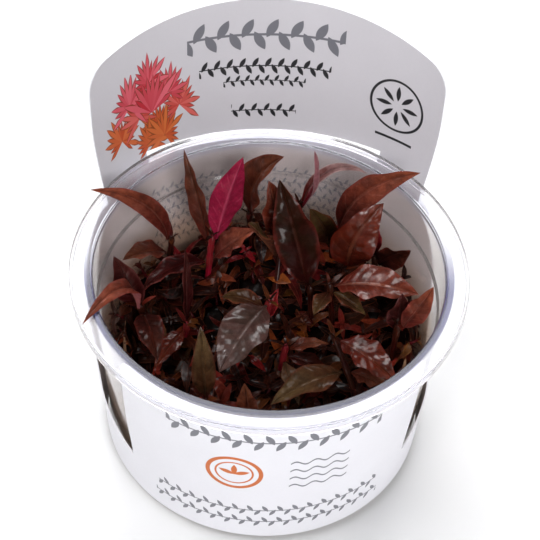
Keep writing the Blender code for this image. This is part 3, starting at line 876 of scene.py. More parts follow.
@dataclass
class CardWrap:
    """The card that wraps the cup: a band, a front panel, a tall header and a slot for the flange."""

    FRONT_PLACE = 200.0
    EDGE_PLACE = (9.0, 9.0)
    COLUMNS = 14
    RIM_COLUMNS = (0.73, 0.77, 0.81, 0.845, 0.875, 0.9, 0.92, 0.94, 0.955, 0.968, 0.98, 0.989, 0.996, 1.0)

    cup: Cup
    thickness: float = 0.4
    fit: float = 0.35
    foot: float = 2.0
    notch_height: float = 16.0
    notch_angle: float = 52.5
    panel_angle: float = 54.3
    panel_top: float = 57.0
    panel_corner: float = 6.0
    panel_flare_top: float = 34.0
    wing_top: float = 50.0
    wing_shoulder: float = 20.0
    wing_break: float = 0.6
    header_top: float = 101.5
    header_arch: float = 154.0
    header_corner: float = 5.5
    header_half_foot: float = 46.7
    header_flare: float = 3.4
    flare_foot: float = 44.0
    flare_top: float = 80.0
    header_curve: float = 60.0
    header_back: float = 48.5
    header_lean: float = 5.5
    slot_low: float = 56.9
    slot_high: float = 60.7
    slot_column: float = 0.69
    band_steps: int = 10
    header_steps: int = 14
    wing_columns: int = 24
    outside: Colour = srgb(240, 239, 245)
    inside: Colour = srgb(214, 211, 217)

    def columns(self) -> list[float]:
        """Where the columns of the header and the panel run, in shares of half their width.

        Returns:
            The shares, from -1 at one side edge to 1 at the other.
        """
        half = [self.slot_column * k / self.COLUMNS for k in range(1, self.COLUMNS + 1)]
        half += self.RIM_COLUMNS
        return [-c for c in reversed(half)] + [0.0] + half

    def wrap_radius(self, z: float) -> float:
        """The card's inner radius where it hugs the cup."""
        return self.cup.radius(z) + self.fit

    def notch_reach(self) -> float:
        """How far along the sheet the middle of each side notch is from the middle of the back."""
        return radians(180 - self.notch_angle) * self.wrap_radius(self.notch_height)

    def back_point(self, s: float, z: float, depth: float) -> Vector:
        """Bends the back of the flat card: low down it hugs the cup, higher up it opens and leans back.

        Args:
            s: the place along the sheet, from the middle of the back.
            z: the height.
            depth: the depth in the card, from its inner face.

        Returns:
            The place in the frame.
        """
        open_up = smooth_step(z, self.notch_height, self.cup.height - 1)
        hug = self.wrap_radius(z)
        radius = hug + (self.header_curve - hug) * open_up
        lean = max(z - self.cup.height, 0) * sin(radians(self.header_lean))
        back = hug + (self.header_back - hug) * open_up + lean
        turn, reach = s / radius, radius + depth
        return Vector((reach * sin(turn), back - radius + reach * cos(turn), z))

    def front_point(self, s: float, z: float, depth: float) -> Vector:
        """Bends the front panel round the cup."""
        turn, reach = s / self.wrap_radius(z), self.wrap_radius(z) + depth
        return Vector((-reach * sin(turn), -reach * cos(turn), z))

    def header_half_width(self, z: float) -> float:
        """Half the header's width along the sheet."""
        return self.header_half_foot + self.header_flare * smooth_step(z, self.flare_foot, self.flare_top)

    def panel_half_width(self, z: float) -> float:
        """Half the front panel's width along the sheet.

        Args:
            z: the height.

        Returns:
            The half width.
        """
        if z <= self.notch_height:
            return pi * self.wrap_radius(z) - self.notch_reach()
        flare = self.panel_angle - self.notch_angle
        turn = self.notch_angle + flare * smooth_step(z, self.notch_height, self.panel_flare_top)
        return radians(turn) * self.wrap_radius(z)

    def upright_rows(self, levels: list[float], half_width: Callable[[float], float],
                     top: float, corner: float, arch: float | None) -> Rows:
        """The rows of points of the header or the panel on the flat sheet, from the card's foot up.

        Args:
            levels: the heights of the level rows.
            half_width: gives half the width at a height.
            top: how high the upper edge reaches.
            corner: the radius of the upper corners.
            arch: the radius of the upper edge's arch; None keeps it straight.

        Returns:
            The level rows, and above them rows that ease into the upper edge.
        """
        columns = self.columns()
        rows = [[(a * half_width(z), z) for a in columns] for z in levels]
        low, widest = levels[-1], half_width(top)
        for step in range(1, self.header_steps + 1):
            row = []
            for a in columns:
                sag = arch - sqrt(arch ** 2 - (a * widest) ** 2) if arch else 0
                past = max(abs(a) * widest - (widest - corner), 0)
                edge = top - sag - corner + sqrt(max(corner ** 2 - past ** 2, 0))
                z = low + (edge - low) * step / self.header_steps
                row.append((a * half_width(z), z))
            rows.append(row)
        return rows

    def levels(self, top: float) -> list[float]:
        """The heights of the rows from the card's foot up to a height."""
        return [self.foot + (top - self.foot) * k / self.band_steps for k in range(self.band_steps + 1)]

    def header_rows(self) -> Rows:
        """The middle of the back, from the card's foot to the header's arched top.

        Returns:
            Rows of places along the sheet and heights.
        """
        levels = self.levels(self.wing_top) + [self.slot_low, self.slot_high]
        return self.upright_rows(levels, self.header_half_width, self.header_top, self.header_corner,
                                 self.header_arch)

    def panel_rows(self) -> Rows:
        """The front panel, with rounded upper corners."""
        return self.upright_rows(self.levels(self.notch_height), self.panel_half_width, self.panel_top,
                                 self.panel_corner, None)

    def wing_rows(self, side: int) -> Rows:
        """The low part of the card between the header and a notch; side is 1 right and -1 left.

        Args:
            side: 1 for the right wing and -1 for the left.

        Returns:
            Rows of places along the sheet and heights.
        """
        span = self.notch_reach() - self.header_half_foot
        rows = []
        for step in range(self.band_steps + 1):
            row = []
            for k in range(self.wing_columns + 1):
                t = k / self.wing_columns
                fall = (self.wing_top - self.wing_shoulder) * smooth_step(t, 0, self.wing_break)
                fall += (self.wing_shoulder - self.notch_height) * smooth_step(t, self.wing_break, 1.0)
                z = self.foot + (self.wing_top - fall - self.foot) * step / self.band_steps
                row.append((side * (self.header_half_foot + span * t), z))
            rows.append(row if side > 0 else row[::-1])
        return rows

    def build(self) -> None:
        """Makes the card as one sheet with thickness, printed on each face."""
        outer, inner, quads, places, index = [], [], [], [], {}
        columns = self.columns()

        def corner(bend: Callable[[float, float, float], Vector], s: float, z: float) -> int:
            """The number of a point of the sheet, which is added if it is new.

            Args:
                bend: bends the flat sheet.
                s: the place along the sheet.
                z: the height.

            Returns:
                The point's number.
            """
            point = bend(s, z, self.thickness)
            key = tuple(round(c, 2) for c in point)
            if key not in index:
                index[key] = len(outer)
                outer.append(point)
                inner.append(bend(s, z, 0))
            return index[key]

        patches = ((self.header_rows(), self.back_point, 0.0), (self.wing_rows(1), self.back_point, 0.0),
                   (self.wing_rows(-1), self.back_point, 0.0),
                   (self.panel_rows(), self.front_point, self.FRONT_PLACE))
        for patch, (rows, bend, across) in enumerate(patches):
            for low, high in zip(rows, rows[1:]):
                cut = patch == 0 and low[0][1] == self.slot_low
                for k in range(len(low) - 1):
                    if cut and abs(columns[k] + columns[k + 1]) / 2 < self.slot_column:
                        continue
                    around = (low[k], high[k], high[k + 1], low[k + 1])
                    quads.append([corner(bend, s, z) for s, z in around])
                    places.append([((across + s) / UV_REACH, z / UV_REACH) for s, z in around])
        count = len(outer)
        edges = {(a, b) for quad in quads for a, b in zip(quad, quad[1:] + quad[:1])}
        faces = [tuple(quad) for quad in quads]
        faces += [tuple(i + count for i in reversed(quad)) for quad in quads]
        spots = [p for quad in places for p in quad] + [p for quad in places for p in reversed(quad)]
        for a, b in sorted(edges):
            if (b, a) not in edges:
                faces.append((b, a, a + count, b + count))
                spots += [self.EDGE_PLACE] * 4
        finishes = [CardFinish(Face.OUTSIDE, self.outside).build(),
                    CardFinish(Face.INSIDE, self.inside).build()]
        piece = make_object("card_wrap", outer + inner, faces, finishes, 40.0)
        layer = piece.data.uv_layers.new(name="UVMap")
        layer.data.foreach_set("uv", np.array(spots, np.float32).ravel())
        sides = [0] * len(quads) + [1] * len(quads) + [0] * (len(faces) - 2 * len(quads))
        piece.data.polygons.foreach_set("material_index", sides)
        seat(piece, "card", "label")


# The plant

@cache
def leaf_group() -> bpy.types.NodeTree:
    """The surface of a leaf: its colours along and across, veins, patches, wet film and small puckers.

    Returns:
        The group.
    """
    colours = dict.fromkeys(("Base", "Tip", "Edge", "Vein", "Patch", "Under"), Kind.COLOUR)
    shares = {"Patchiness": 0.5, "Veining": 0.3, "Wet": 0.6, "Even": 0.0, "Wrinkle": 0.5}
    numbers = dict.fromkeys(("Roughness", "Coat", "Height"), Kind.NUMBER)
    tree = Group("leaf surface", colours | shares, {"Colour": Kind.COLOUR} | numbers)
    at = tree.at
    across, along, _ = tree.parts(tree.uv())
    own = tree.own()
    middle = tree.noise(own, 520.0, 4.0, 0.6)
    fine = tree.noise(own, 2400.0, 3.0, 0.7)
    drift = (middle - 0.5) * 0.3
    off = abs(across * 2.0 - 1.0)
    phase = (along - off * Leaf.VEIN_LAG) * Leaf.VEINS
    saw = abs(tree.math("FRACT", phase + drift) - 0.5)
    lateral = tree.span(saw, 0.38, 0.49) * tree.span(off, 0.98, 0.75)
    lateral = lateral * tree.span(tree.noise(own, 340.0, 2.0), 0.36, 0.62)
    midrib = tree.span(off, 0.13, 0.05)
    veins = tree.math("MAXIMUM", lateral * 0.55, midrib)
    colour = tree.mix(tree.span(along + drift, 0.12, 0.95), at["Base"], at["Tip"])
    patches = tree.span(tree.noise(own, 190.0, 3.0), 0.47, 0.60) * at["Patchiness"]
    colour = tree.mix(patches, colour, at["Patch"])
    colour = tree.mix(tree.span(off + drift, 0.74, 0.98) * 0.75, colour, at["Edge"])
    drawn = veins * at["Veining"]
    above, below = (tree.mix(drawn, side, at["Vein"]) for side in (colour, at["Under"]))
    shown = tree.mix(tree.attribute("under"), above, below)
    speck = tree.span(fine, 0.25, 0.75, 0.82, 1.18) * tree.span(middle, 0.25, 0.75, 0.80, 1.2)
    pools = tree.span(tree.noise(own, 260.0, 3.0), 0.42, 0.60)
    film = tree.math("MAXIMUM", pools, at["Even"]) * at["Wet"]
    puckers = tree.get("ShaderNodeTexVoronoi", {"Vector": own, "Scale": 900.0}, "Distance",
                       feature="SMOOTH_F1")
    relief = (puckers * -0.5 + middle * 0.7) * at["Wrinkle"] - veins * 0.35
    return tree.close({"Colour": tree.mix(1.0, shown, speck, "MULTIPLY"), "Coat": film, "Height": relief,
                       "Roughness": tree.span(fine, 0.2, 0.8, 0.44, 0.60) - film * 0.22})


@dataclass(frozen=True)
class LeafFinish:
    """The colours of one kind of leaf as a screen shows them, and how wet it is."""

    slot: str
    base: Screen
    tip: Screen
    edge: Screen
    vein: Screen
    patch: Screen
    under: Screen
    patchiness: float = 0.5
    veining: float = 0.3
    wet: Wetness = Wetness.WET

    def build(self, name: str) -> bpy.types.Material:
        """Makes the leaf's material from the shared leaf surface.

        Args:
            name: the material's name.

        Returns:
            The material.
        """
        film = self.wet.value
        finish, tree, shader = principled(name, Coat_Roughness=film.roughness, Coat_IOR=film.index,
                                          Specular_IOR_Level=0.04)
        look = tree.use(leaf_group(), Base=srgb(*self.base), Tip=srgb(*self.tip), Edge=srgb(*self.edge),
                        Vein=srgb(*self.vein), Patch=srgb(*self.patch), Under=srgb(*self.under),
                        Patchiness=self.patchiness, Veining=self.veining, Wet=film.weight, Even=film.even,
                        Wrinkle=film.wrinkle)
        tree.feed(shader, {"Base Color": look["Colour"], "Roughness": look["Roughness"],
                           "Coat Weight": look["Coat"], "Normal": tree.bump(look["Height"], 0.6, 0.0004)})
        return finish


LEAF_FINISHES = {
    "crimson": LeafFinish("leaf_crimson", (106, 17, 36), (153, 27, 63), (133, 22, 51),
                          (210, 94, 123), (97, 22, 46), (137, 27, 56), 0.5, 0.3),
    "cherry": LeafFinish("leaf_crimson", (87, 15, 20), (123, 27, 29), (147, 44, 46),
                         (171, 63, 63), (61, 12, 15), (118, 29, 36)),
    "bow": LeafFinish("leaf_crimson", (41, 5, 6), (47, 11, 8), (98, 43, 39),
                      (91, 28, 27), (24, 4, 3), (79, 17, 21)),
    "tower": LeafFinish("leaf_olive", (37, 7, 6), (41, 18, 9), (80, 26, 21),
                        (69, 30, 21), (27, 19, 8), (69, 28, 21)),
    "olive": LeafFinish("leaf_olive", (51, 22, 14), (65, 46, 26), (99, 48, 32),
                        (111, 75, 51), (73, 58, 30), (104, 58, 44)),
    "ochre_olive": LeafFinish("leaf_olive", (65, 36, 20), (81, 62, 39), (74, 37, 24),
                              (112, 87, 63), (49, 36, 24), (88, 53, 41), 0.6),
    "brown": LeafFinish("leaf_brown", (66, 23, 17), (89, 46, 29), (98, 44, 32),
                        (116, 68, 51), (45, 23, 16), (112, 61, 53)),
    "rust": LeafFinish("leaf_brown", (82, 29, 24), (128, 65, 46), (113, 48, 40),
                       (157, 94, 80), (65, 33, 27), (133, 75, 77)),
    "dark": LeafFinish("leaf_brown", (40, 10, 8), (53, 21, 12), (70, 23, 18),
                       (88, 40, 32), (28, 12, 8), (84, 38, 34)),
    "brick": LeafFinish("leaf_brick", (80, 22, 12), (103, 42, 26), (108, 50, 39),
                        (140, 84, 67), (60, 21, 12), (140, 85, 72), 0.5, 0.55, Wetness.DRENCHED),
    "ember_red": LeafFinish("leaf_brick", (70, 16, 7), (93, 32, 14), (80, 23, 14),
                            (116, 63, 44), (43, 16, 9), (98, 46, 36), 0.5, 0.35,
                            Wetness.DRENCHED),
    "mauve": LeafFinish("leaf_mauve", (55, 33, 28), (84, 61, 56), (71, 46, 41),
                        (107, 84, 78), (47, 36, 29), (105, 77, 74), 0.5, 0.3, Wetness.DRENCHED),
    "ochre": LeafFinish("leaf_ochre", (73, 27, 16), (99, 55, 36), (87, 40, 28),
                        (123, 79, 65), (60, 27, 20), (101, 58, 52)),
    "cream": LeafFinish("leaf_ochre", (65, 40, 25), (91, 72, 54), (75, 50, 34),
                        (108, 89, 71), (57, 38, 25), (90, 66, 51)),
    "lilac": LeafFinish("leaf_mauve", (112, 16, 30), (158, 122, 130), (170, 138, 142),
                        (190, 150, 156), (104, 52, 56), (150, 96, 102)),
    "lilac_brown": LeafFinish("leaf_brown", (92, 22, 18), (146, 116, 114), (160, 134, 132),
                              (176, 146, 144), (88, 44, 40), (140, 96, 92)),
    "plum": LeafFinish("leaf_mauve", (44, 8, 9), (60, 22, 19), (78, 34, 32),
                       (104, 60, 56), (28, 8, 6), (84, 44, 44)),
}
LEAF_FINISHES["rust_brick"] = replace(LEAF_FINISHES["rust"], slot="leaf_brick")

LEAF_LOOKS = {
    "spire": "crimson", "flame": "cherry", "bow": "bow", "cherry": "cherry",
    "tower": "tower", "boat": "ochre_olive", "lance": "ochre_olive", "star_left": "olive",
    "star_right": "olive", "side_olive": "olive", "twig": "olive", "shade_back": "olive",
    "arch": "rust", "hook": "brown", "far_west": "rust", "sickle": "lilac_brown", "strap": "brown",
    "curl": "rust", "west_tip": "brown", "east_wall": "rust", "ember_low": "dark",
    "shade_east": "dark", "shade_west": "dark",
    "sail": "brick", "over_rim": "rust_brick", "wet": "ember_red", "brick": "brick", "drape": "ember_red",
    "low_left": "ember_red",
    "gloss": "mauve", "ribbon": "lilac", "pale": "plum", "west_mauve": "plum",
    "east_mauve": "plum",
    "ember": "ochre", "thumb": "ochre", "bud": "cream", "rust": "ochre",
}


def spline(knots: list[float], values: list[Vector], place: float) -> Vector:
    """A smooth curve through values at uneven knots.

    Args:
        knots: the knots, rising.
        values: the value at each knot.
        place: where on the curve.

    Returns:
        The value there.
    """
    k = max(i for i in range(len(knots) - 1) if knots[i] <= place + 1e-9)
    step = knots[k + 1] - knots[k]
    t = (place - knots[k]) / step

    def slope(i: int) -> Vector:
        """The curve's slope at a knot."""
        a, b = max(i - 1, 0), min(i + 1, len(knots) - 1)
        return (values[b] - values[a]) / (knots[b] - knots[a])

    return (values[k] * (2 * t ** 3 - 3 * t ** 2 + 1) + values[k + 1] * (3 * t ** 2 - 2 * t ** 3)
            + slope(k) * step * (t ** 3 - 2 * t ** 2 + t) + slope(k + 1) * step * (t ** 3 - t ** 2))


def node_mesh(node: str) -> tuple[list[Vector], dict[int, set[int]]]:
    """The merged points of a CAD node, in millimetres, and each point's neighbours.

    Args:
        node: the node's name.

    Returns:
        The points, and the numbers of the points that share an edge with each.
    """
    merged = bmesh.new()
    merged.from_mesh(frame["nodes"][node].data)
    bmesh.ops.remove_doubles(merged, verts=merged.verts, dist=MERGE_GAP * MM)
    merged.verts.index_update()
    points = [vertex.co / MM for vertex in merged.verts]
    beside = {v.index: {e.other_vert(v).index for e in v.link_edges} for v in merged.verts}
    merged.free()
    return points, beside


@dataclass
class Leaf:
    """A large leaf, refined from the stations of its CAD solid."""

    VEINS = 8.0
    VEIN_LAG = 0.16
    CROWN = 0.07
    PUCKER = 0.022
    WAVE = 0.16
    GROOVE = 0.14
    GROOVE_REACH = 0.10
    GROOVE_HALF = 1.6
    BUBBLE = 2.1
    BUBBLE_RISE = {Wetness.DRENCHED: 0.30, Wetness.WET: 0.12}
    TWIST = 26.0
    STATIONS = (0.05, 0.15, 0.28, 0.43, 0.59, 0.75, 0.9)

    name: str
    look: str
    ring: int = 8
    across: int = 20
    rows: int = 60
    over: float = 0.2
    edge: float = 0.07
    rib: float = 0.38
    under: float = 0.14
    solid_under: float = 0.35
    rib_reach: float = 0.12
    wave_count: tuple[float, float] = (2.2, 3.8)
    thin_half: float = 0.6
    foot_share: float = 0.8
    trim: float = 0.14
    slimming: float = 0.18
    slim_reach: tuple[float, float] = (0.45, 0.92)

    def levels(self, beside: dict[int, set[int]]) -> list[list[int]]:
        """The numbers of the CAD solid's points, ring by ring from one pole to the other.

        Args:
            beside: each point's neighbours.

        Returns:
            The numbers, level by level.
        """
        sizes = [1] + [self.ring] * len(self.STATIONS) + [1]
        for pole in (k for k in beside if len(beside[k]) == self.ring):
            levels, seen = [[pole]], {pole}
            while levels[-1]:
                fresh = sorted({b for a in levels[-1] for b in beside[a]} - seen)
                seen |= set(fresh)
                levels.append(fresh)
            if [len(level) for level in levels[:-1]] == sizes:
                return levels[:-1]
        raise ValueError(f"{self.name}: no rings found")

    def stations(self) -> tuple[list[Vector], list[Vector], list[Vector], list[Vector]]:
        """Reads the CAD solid's rings back.

        Returns:
            At each station, with the two ends: the midrib's place, the ways from it to the left and
            to the right edge, and the way up.
        """
        points, beside = node_mesh("leaf_" + self.name)
        levels = self.levels(beside)
        centres = [sum((points[k] for k in level), Vector()) / len(level) for level in levels]
        if (centres[1] - centres[0]).length > (centres[-2] - centres[-1]).length:
            levels, centres = levels[::-1], centres[::-1]
        middles, lefts, rights, ups = [], [], [], []
        for n, level in enumerate(levels[1:-1], 1):
            ring = [points[k] for k in level]
            pairs = ((a, b) for a in ring for b in ring)
            one, other = max(pairs, key=lambda pair: (pair[0] - pair[1]).length)
            half_way = (one + other) / 2
            axis = (other - one).normalized()
            spread = sorted((p for p in ring if p not in (one, other)),
                            key=lambda p: abs((p - half_way).dot(axis)))
            pair = spread[:2]
            upper = max(pair, key=lambda p: (p - half_way).dot(half_way - (pair[0] + pair[1]) / 2))
            lower = pair[1] if upper is pair[0] else pair[0]
            up = (upper - lower).normalized()
            middle = lower + up * self.solid_under
            out = (centres[n + 1] - centres[n - 1]).normalized().cross(up)
            right, left = (one, other) if (one - middle).dot(out) > 0 else (other, one)
            for line, value in ((middles, middle), (lefts, left - middle), (rights, right - middle),
                                (ups, up)):
                line.append(value)
        for line in (lefts, rights):
            line[:] = [line[0] * self.foot_share, *line, Vector()]
        return [centres[0], *middles, centres[-1]], lefts, rights, [ups[0], *ups, ups[-1]]

    def lift(self, t: float, v: float, half: float, draw: list[float]) -> float:
        """How far the blade rises above its folded form at a place, in millimetres.

        Args:
            t: the way across, from -1 at the left edge to 1 at the right.
            v: the way along, from 0 to 1.
            half: half the blade's width there.
            draw: the leaf's own random numbers: two phases, its waves, its twist and its length.

        Returns:
            The rise, from the crown of each half, the puckers between veins and the wavy margin.
        """
        away = abs(t)
        side = draw[0] if t < 0 else draw[1]
        easing = min(sin(pi * v) * 2, 1)
        body = sin(pi * away) * easing
        crown = self.CROWN * half * body
        pucker = self.PUCKER * half * body * cos(2 * pi * self.VEINS * (v - self.VEIN_LAG * away))
        spot = Vector((t * half, v * draw[4], draw[0] * 50)) / self.BUBBLE
        pucker -= self.BUBBLE_RISE[LEAF_FINISHES[self.look].wet] * body * noise.noise(spot)
        waves = self.WAVE * half * away ** 3 * sin(2 * pi * (draw[2] * v + side)) * easing
        groove = -self.GROOVE * min(half, self.GROOVE_HALF) * exp(-(t / self.GROOVE_REACH) ** 2)
        return crown - pucker + waves + groove

    def build(self) -> Vector:
        """Makes the leaf.

        Returns:
            Where the leaf's stalk leaves its stem, in millimetres.
        """
        middles, lefts, rights, ups = self.stations()
        knots = [0.0, *self.STATIONS, 1.0]
        chance = Random(self.name)
        length = sum((b - a).length for a, b in zip(middles, middles[1:]))
        draw = [chance.random(), chance.random(), chance.uniform(*self.wave_count),
                chance.uniform(-1, 1), length]
        trims = [chance.uniform(0.0, self.trim), chance.uniform(0.0, self.trim)]
        steps = [-1 + 2 * k / self.across for k in range(self.across + 1)]
        rings, places, below = [], [], []
        for row in range(1, self.rows):
            v = row / self.rows
            middle, left, right = (spline(knots, line, v) for line in (middles, lefts, rights))
            up = spline(knots, ups, v).normalized()
            ahead, behind = (spline(knots, middles, min(max(v + d, 0.0), 1.0)) for d in (0.01, -0.01))
            twist = self.TWIST * draw[3] * smooth_step(v, 0.25, 1.0)
            spin = Matrix.Rotation(radians(twist), 3, (ahead - behind).normalized())
            slender = 1 - self.slimming * smooth_step(v, *self.slim_reach)
            left, right, up = spin @ left * slender, spin @ right * slender, spin @ up
            for edge, trim, phase in ((left, trims[0], draw[0]), (right, trims[1], draw[1])):
                edge *= 1 - trim * (0.6 + 0.4 * sin(2 * pi * (draw[2] * v + phase)))
            half = (left.length + right.length) / 2
            thick = min(half / self.thin_half, 1.0)
            top, bottom = [], []
            for t in steps:
                foot = middle + (left if t < 0 else right) * abs(t) + up * self.lift(t, v, half, draw)
                slim = (self.over + (self.edge - self.over) * abs(t)) * thick
                near = exp(-(t / self.rib_reach) ** 2)
                rib = (self.under + (self.rib - self.under) * near) * thick
                rib += (self.edge - self.under) * t * t * thick
                top.append(foot + up * slim)
                bottom.append(foot - up * rib)
            edges = [(top[0] + bottom[0]) / 2, (top[-1] + bottom[-1]) / 2]
            rings.append([edges[0], *top[1:-1], edges[1], *bottom[-2:0:-1]])
            spans = [(t + 1) / 2 for t in steps]
            places += [(u, v) for u in spans + spans[-2:0:-1]]
            below += [0.0] * len(steps) + [1.0] * (len(steps) - 2)
        points, faces = skin(rings, middles[0], middles[-1])
        finish = LEAF_FINISHES[self.look]
        parts = Parts.empty("under")
        parts.add(points, faces, places + POLE_PLACES, under=below + [0.0, 0.0])
        piece = parts.piece("blade_" + self.name, [finish.build("leaf " + self.name)], 80.0)
        seat(piece, finish.slot, "leaf_" + self.name)
        return middles[0]


@dataclass
class Parts:
    """Points and faces of one piece as they are gathered, with their UV places and named values."""

    points: list[Vector]
    faces: Faces
    places: list[tuple[float, float]]
    values: dict[str, list[float]]

    @classmethod
    def empty(cls, *names: str) -> "Parts":
        """Starts with nothing but the values' names."""
        return cls([], [], [], {name: [] for name in names})

    def add(self, points: list, faces: list, places: list, **values: float | list[float]) -> None:
        """Adds a closed form; a value may be one number for all of its points.

        Args:
            points: the form's points.
            faces: its faces, by its own points.
            places: the UV place of each point.
            values: the named values of the points.
        """
        start = len(self.points)
        self.points += points
        self.faces += [tuple(i + start for i in face) for face in faces]
        self.places += places
        for name, line in self.values.items():
            given = values[name]
            line += given if isinstance(given, list) else [given] * len(points)

    def piece(self, name: str, materials: list, smooth: float = 60.0) -> bpy.types.Object:
        """Makes the object.

        Args:
            name: the piece's name.
            materials: the finishes of its slots.
            smooth: the angle in degrees past which an edge stays sharp.

        Returns:
            The object.
        """
        made = make_object(name, self.points, self.faces, materials, smooth)
        index = np.zeros(len(made.data.loops), np.int32)
        made.data.loops.foreach_get("vertex_index", index)
        layer = made.data.uv_layers.new(name="UVMap")
        layer.data.foreach_set("uv", np.array(self.places, np.float32)[index].ravel())
        for key, line in self.values.items():
            attribute = made.data.attributes.new(key, "FLOAT", "POINT")
            attribute.data.foreach_set("value", np.array(line, np.float32))
        return made


@dataclass
class SmallBlade:
    """A young leaf of few faces, which leaves its stalk at an angle and bends over."""

    length: float
    width: float
    rise: float
    bend: float
    roll: float = 0.0
    sweep: float = 0.0
    thickness: float = 0.24
    fold: float = 20.0
    swell: float = 1.96
    crown: float = 0.10
    stations: tuple[float, ...] = (0.06, 0.2, 0.36, 0.53, 0.7, 0.87)

    def add_to(self, parts: Parts, base: Vector, heading: float, **values: float) -> None:
        """Adds the blade.

        Args:
            parts: what it is added to.
            base: where it starts.
            heading: its direction seen from above, in degrees.
            values: the named values of its points.
        """
        rings, places, below = [], [], []
        point, last = base.copy(), 0.0
        for share in (*self.stations, 1.0):
            lift = radians(self.rise - self.bend * share)
            turn = radians(heading + self.sweep * share)
            along = Vector((cos(lift) * cos(turn), cos(lift) * sin(turn), sin(lift)))
            upper = Vector((-sin(lift) * cos(turn), -sin(lift) * sin(turn), cos(lift)))
            point = point + along * self.length * (share - last)
            last = share
            if share == 1.0:
                break
            upper = Matrix.Rotation(radians(self.roll * share), 3, along) @ upper
            half = 0.5 * self.width * self.swell * share ** 0.6 * (1 - share) ** 0.8
            out = along.cross(upper) * half * cos(radians(self.fold))
            up = upper * half * sin(radians(self.fold))
            over, under = upper * self.thickness * 0.4, upper * self.thickness * 0.6
            crown = upper * half * self.crown
            left, right = point - out + up, point + out + up
            left_half, right_half = (left + point) / 2 + crown, (right + point) / 2 + crown
            rings.append([left, left_half + over, point + over, right_half + over,
                          right, right_half - under, point - under, left_half - under])
            places += [(u, share) for u in (0.0, 0.25, 0.5, 0.75, 1.0, 0.75, 0.5, 0.25)]
            below += [0.0] * 5 + [1.0] * 3
        points, faces = skin(rings, base, point)
        parts.add(points, faces, places + POLE_PLACES, under=below + [0.0, 0.0], **values)


def tube(path: list[Vector], radii: list[float], sides: int) -> tuple[list[Vector], Faces, list]:
    """A round tube that runs up a path, closed by a pole at each end.

    Args:
        path: the centre of each ring, upwards.
        radii: the radius of each ring.
        sides: how many faces go round.

    Returns:
        Its points, its faces, and its UV places, with the height in centimetres.
    """
    turns = circle(sides)
    rings = [[p + Vector((r * cos(t), r * sin(t), 0)) for t in turns] for p, r in zip(path, radii)]
    points, faces = skin(rings, path[0], path[-1] + Vector((0, 0, radii[-1] * 0.6)))
    places = [(k / sides, p.z / 10) for p in path for k in range(sides)]
    return points, faces, places + [(0.5, path[0].z / 10), (0.5, path[-1].z / 10)]


@dataclass(frozen=True)
class StemFinish:
    """A wet stem with fine lengthwise ribs, clouded with two tones and browner at its joints."""

    name: str
    one: Screen
    other: Screen
    rib: Screen
    joint: Screen
    ribs: int = 7

    def build(self) -> bpy.types.Material:
        """Makes the stem's material.

        Returns:
            The material.
        """
        finish, tree, shader = principled(self.name, Coat_Weight=0.4, Coat_Roughness=0.14, Coat_IOR=1.36,
                                          Specular_IOR_Level=0.06)
        ribs = tree.math("SINE", tree.parts(tree.uv())[0] * (2 * pi * self.ribs))
        cloud = tree.noise(tree.own(), 240.0, 4.0)
        colour = tree.mix(tree.span(cloud, 0.35, 0.65), srgb(*self.one), srgb(*self.other))
        colour = tree.mix(tree.span(ribs, 0.2, 1.0, 0.0, 0.35), colour, srgb(*self.rib))
        colour = tree.mix(tree.attribute("joint") * 0.7, colour, srgb(*self.joint))
        tree.feed(shader, {"Base Color": colour, "Roughness": tree.span(cloud, 0.3, 0.7, 0.30, 0.48),
                           "Normal": tree.bump(ribs, 0.4, 0.0001)})
        return finish


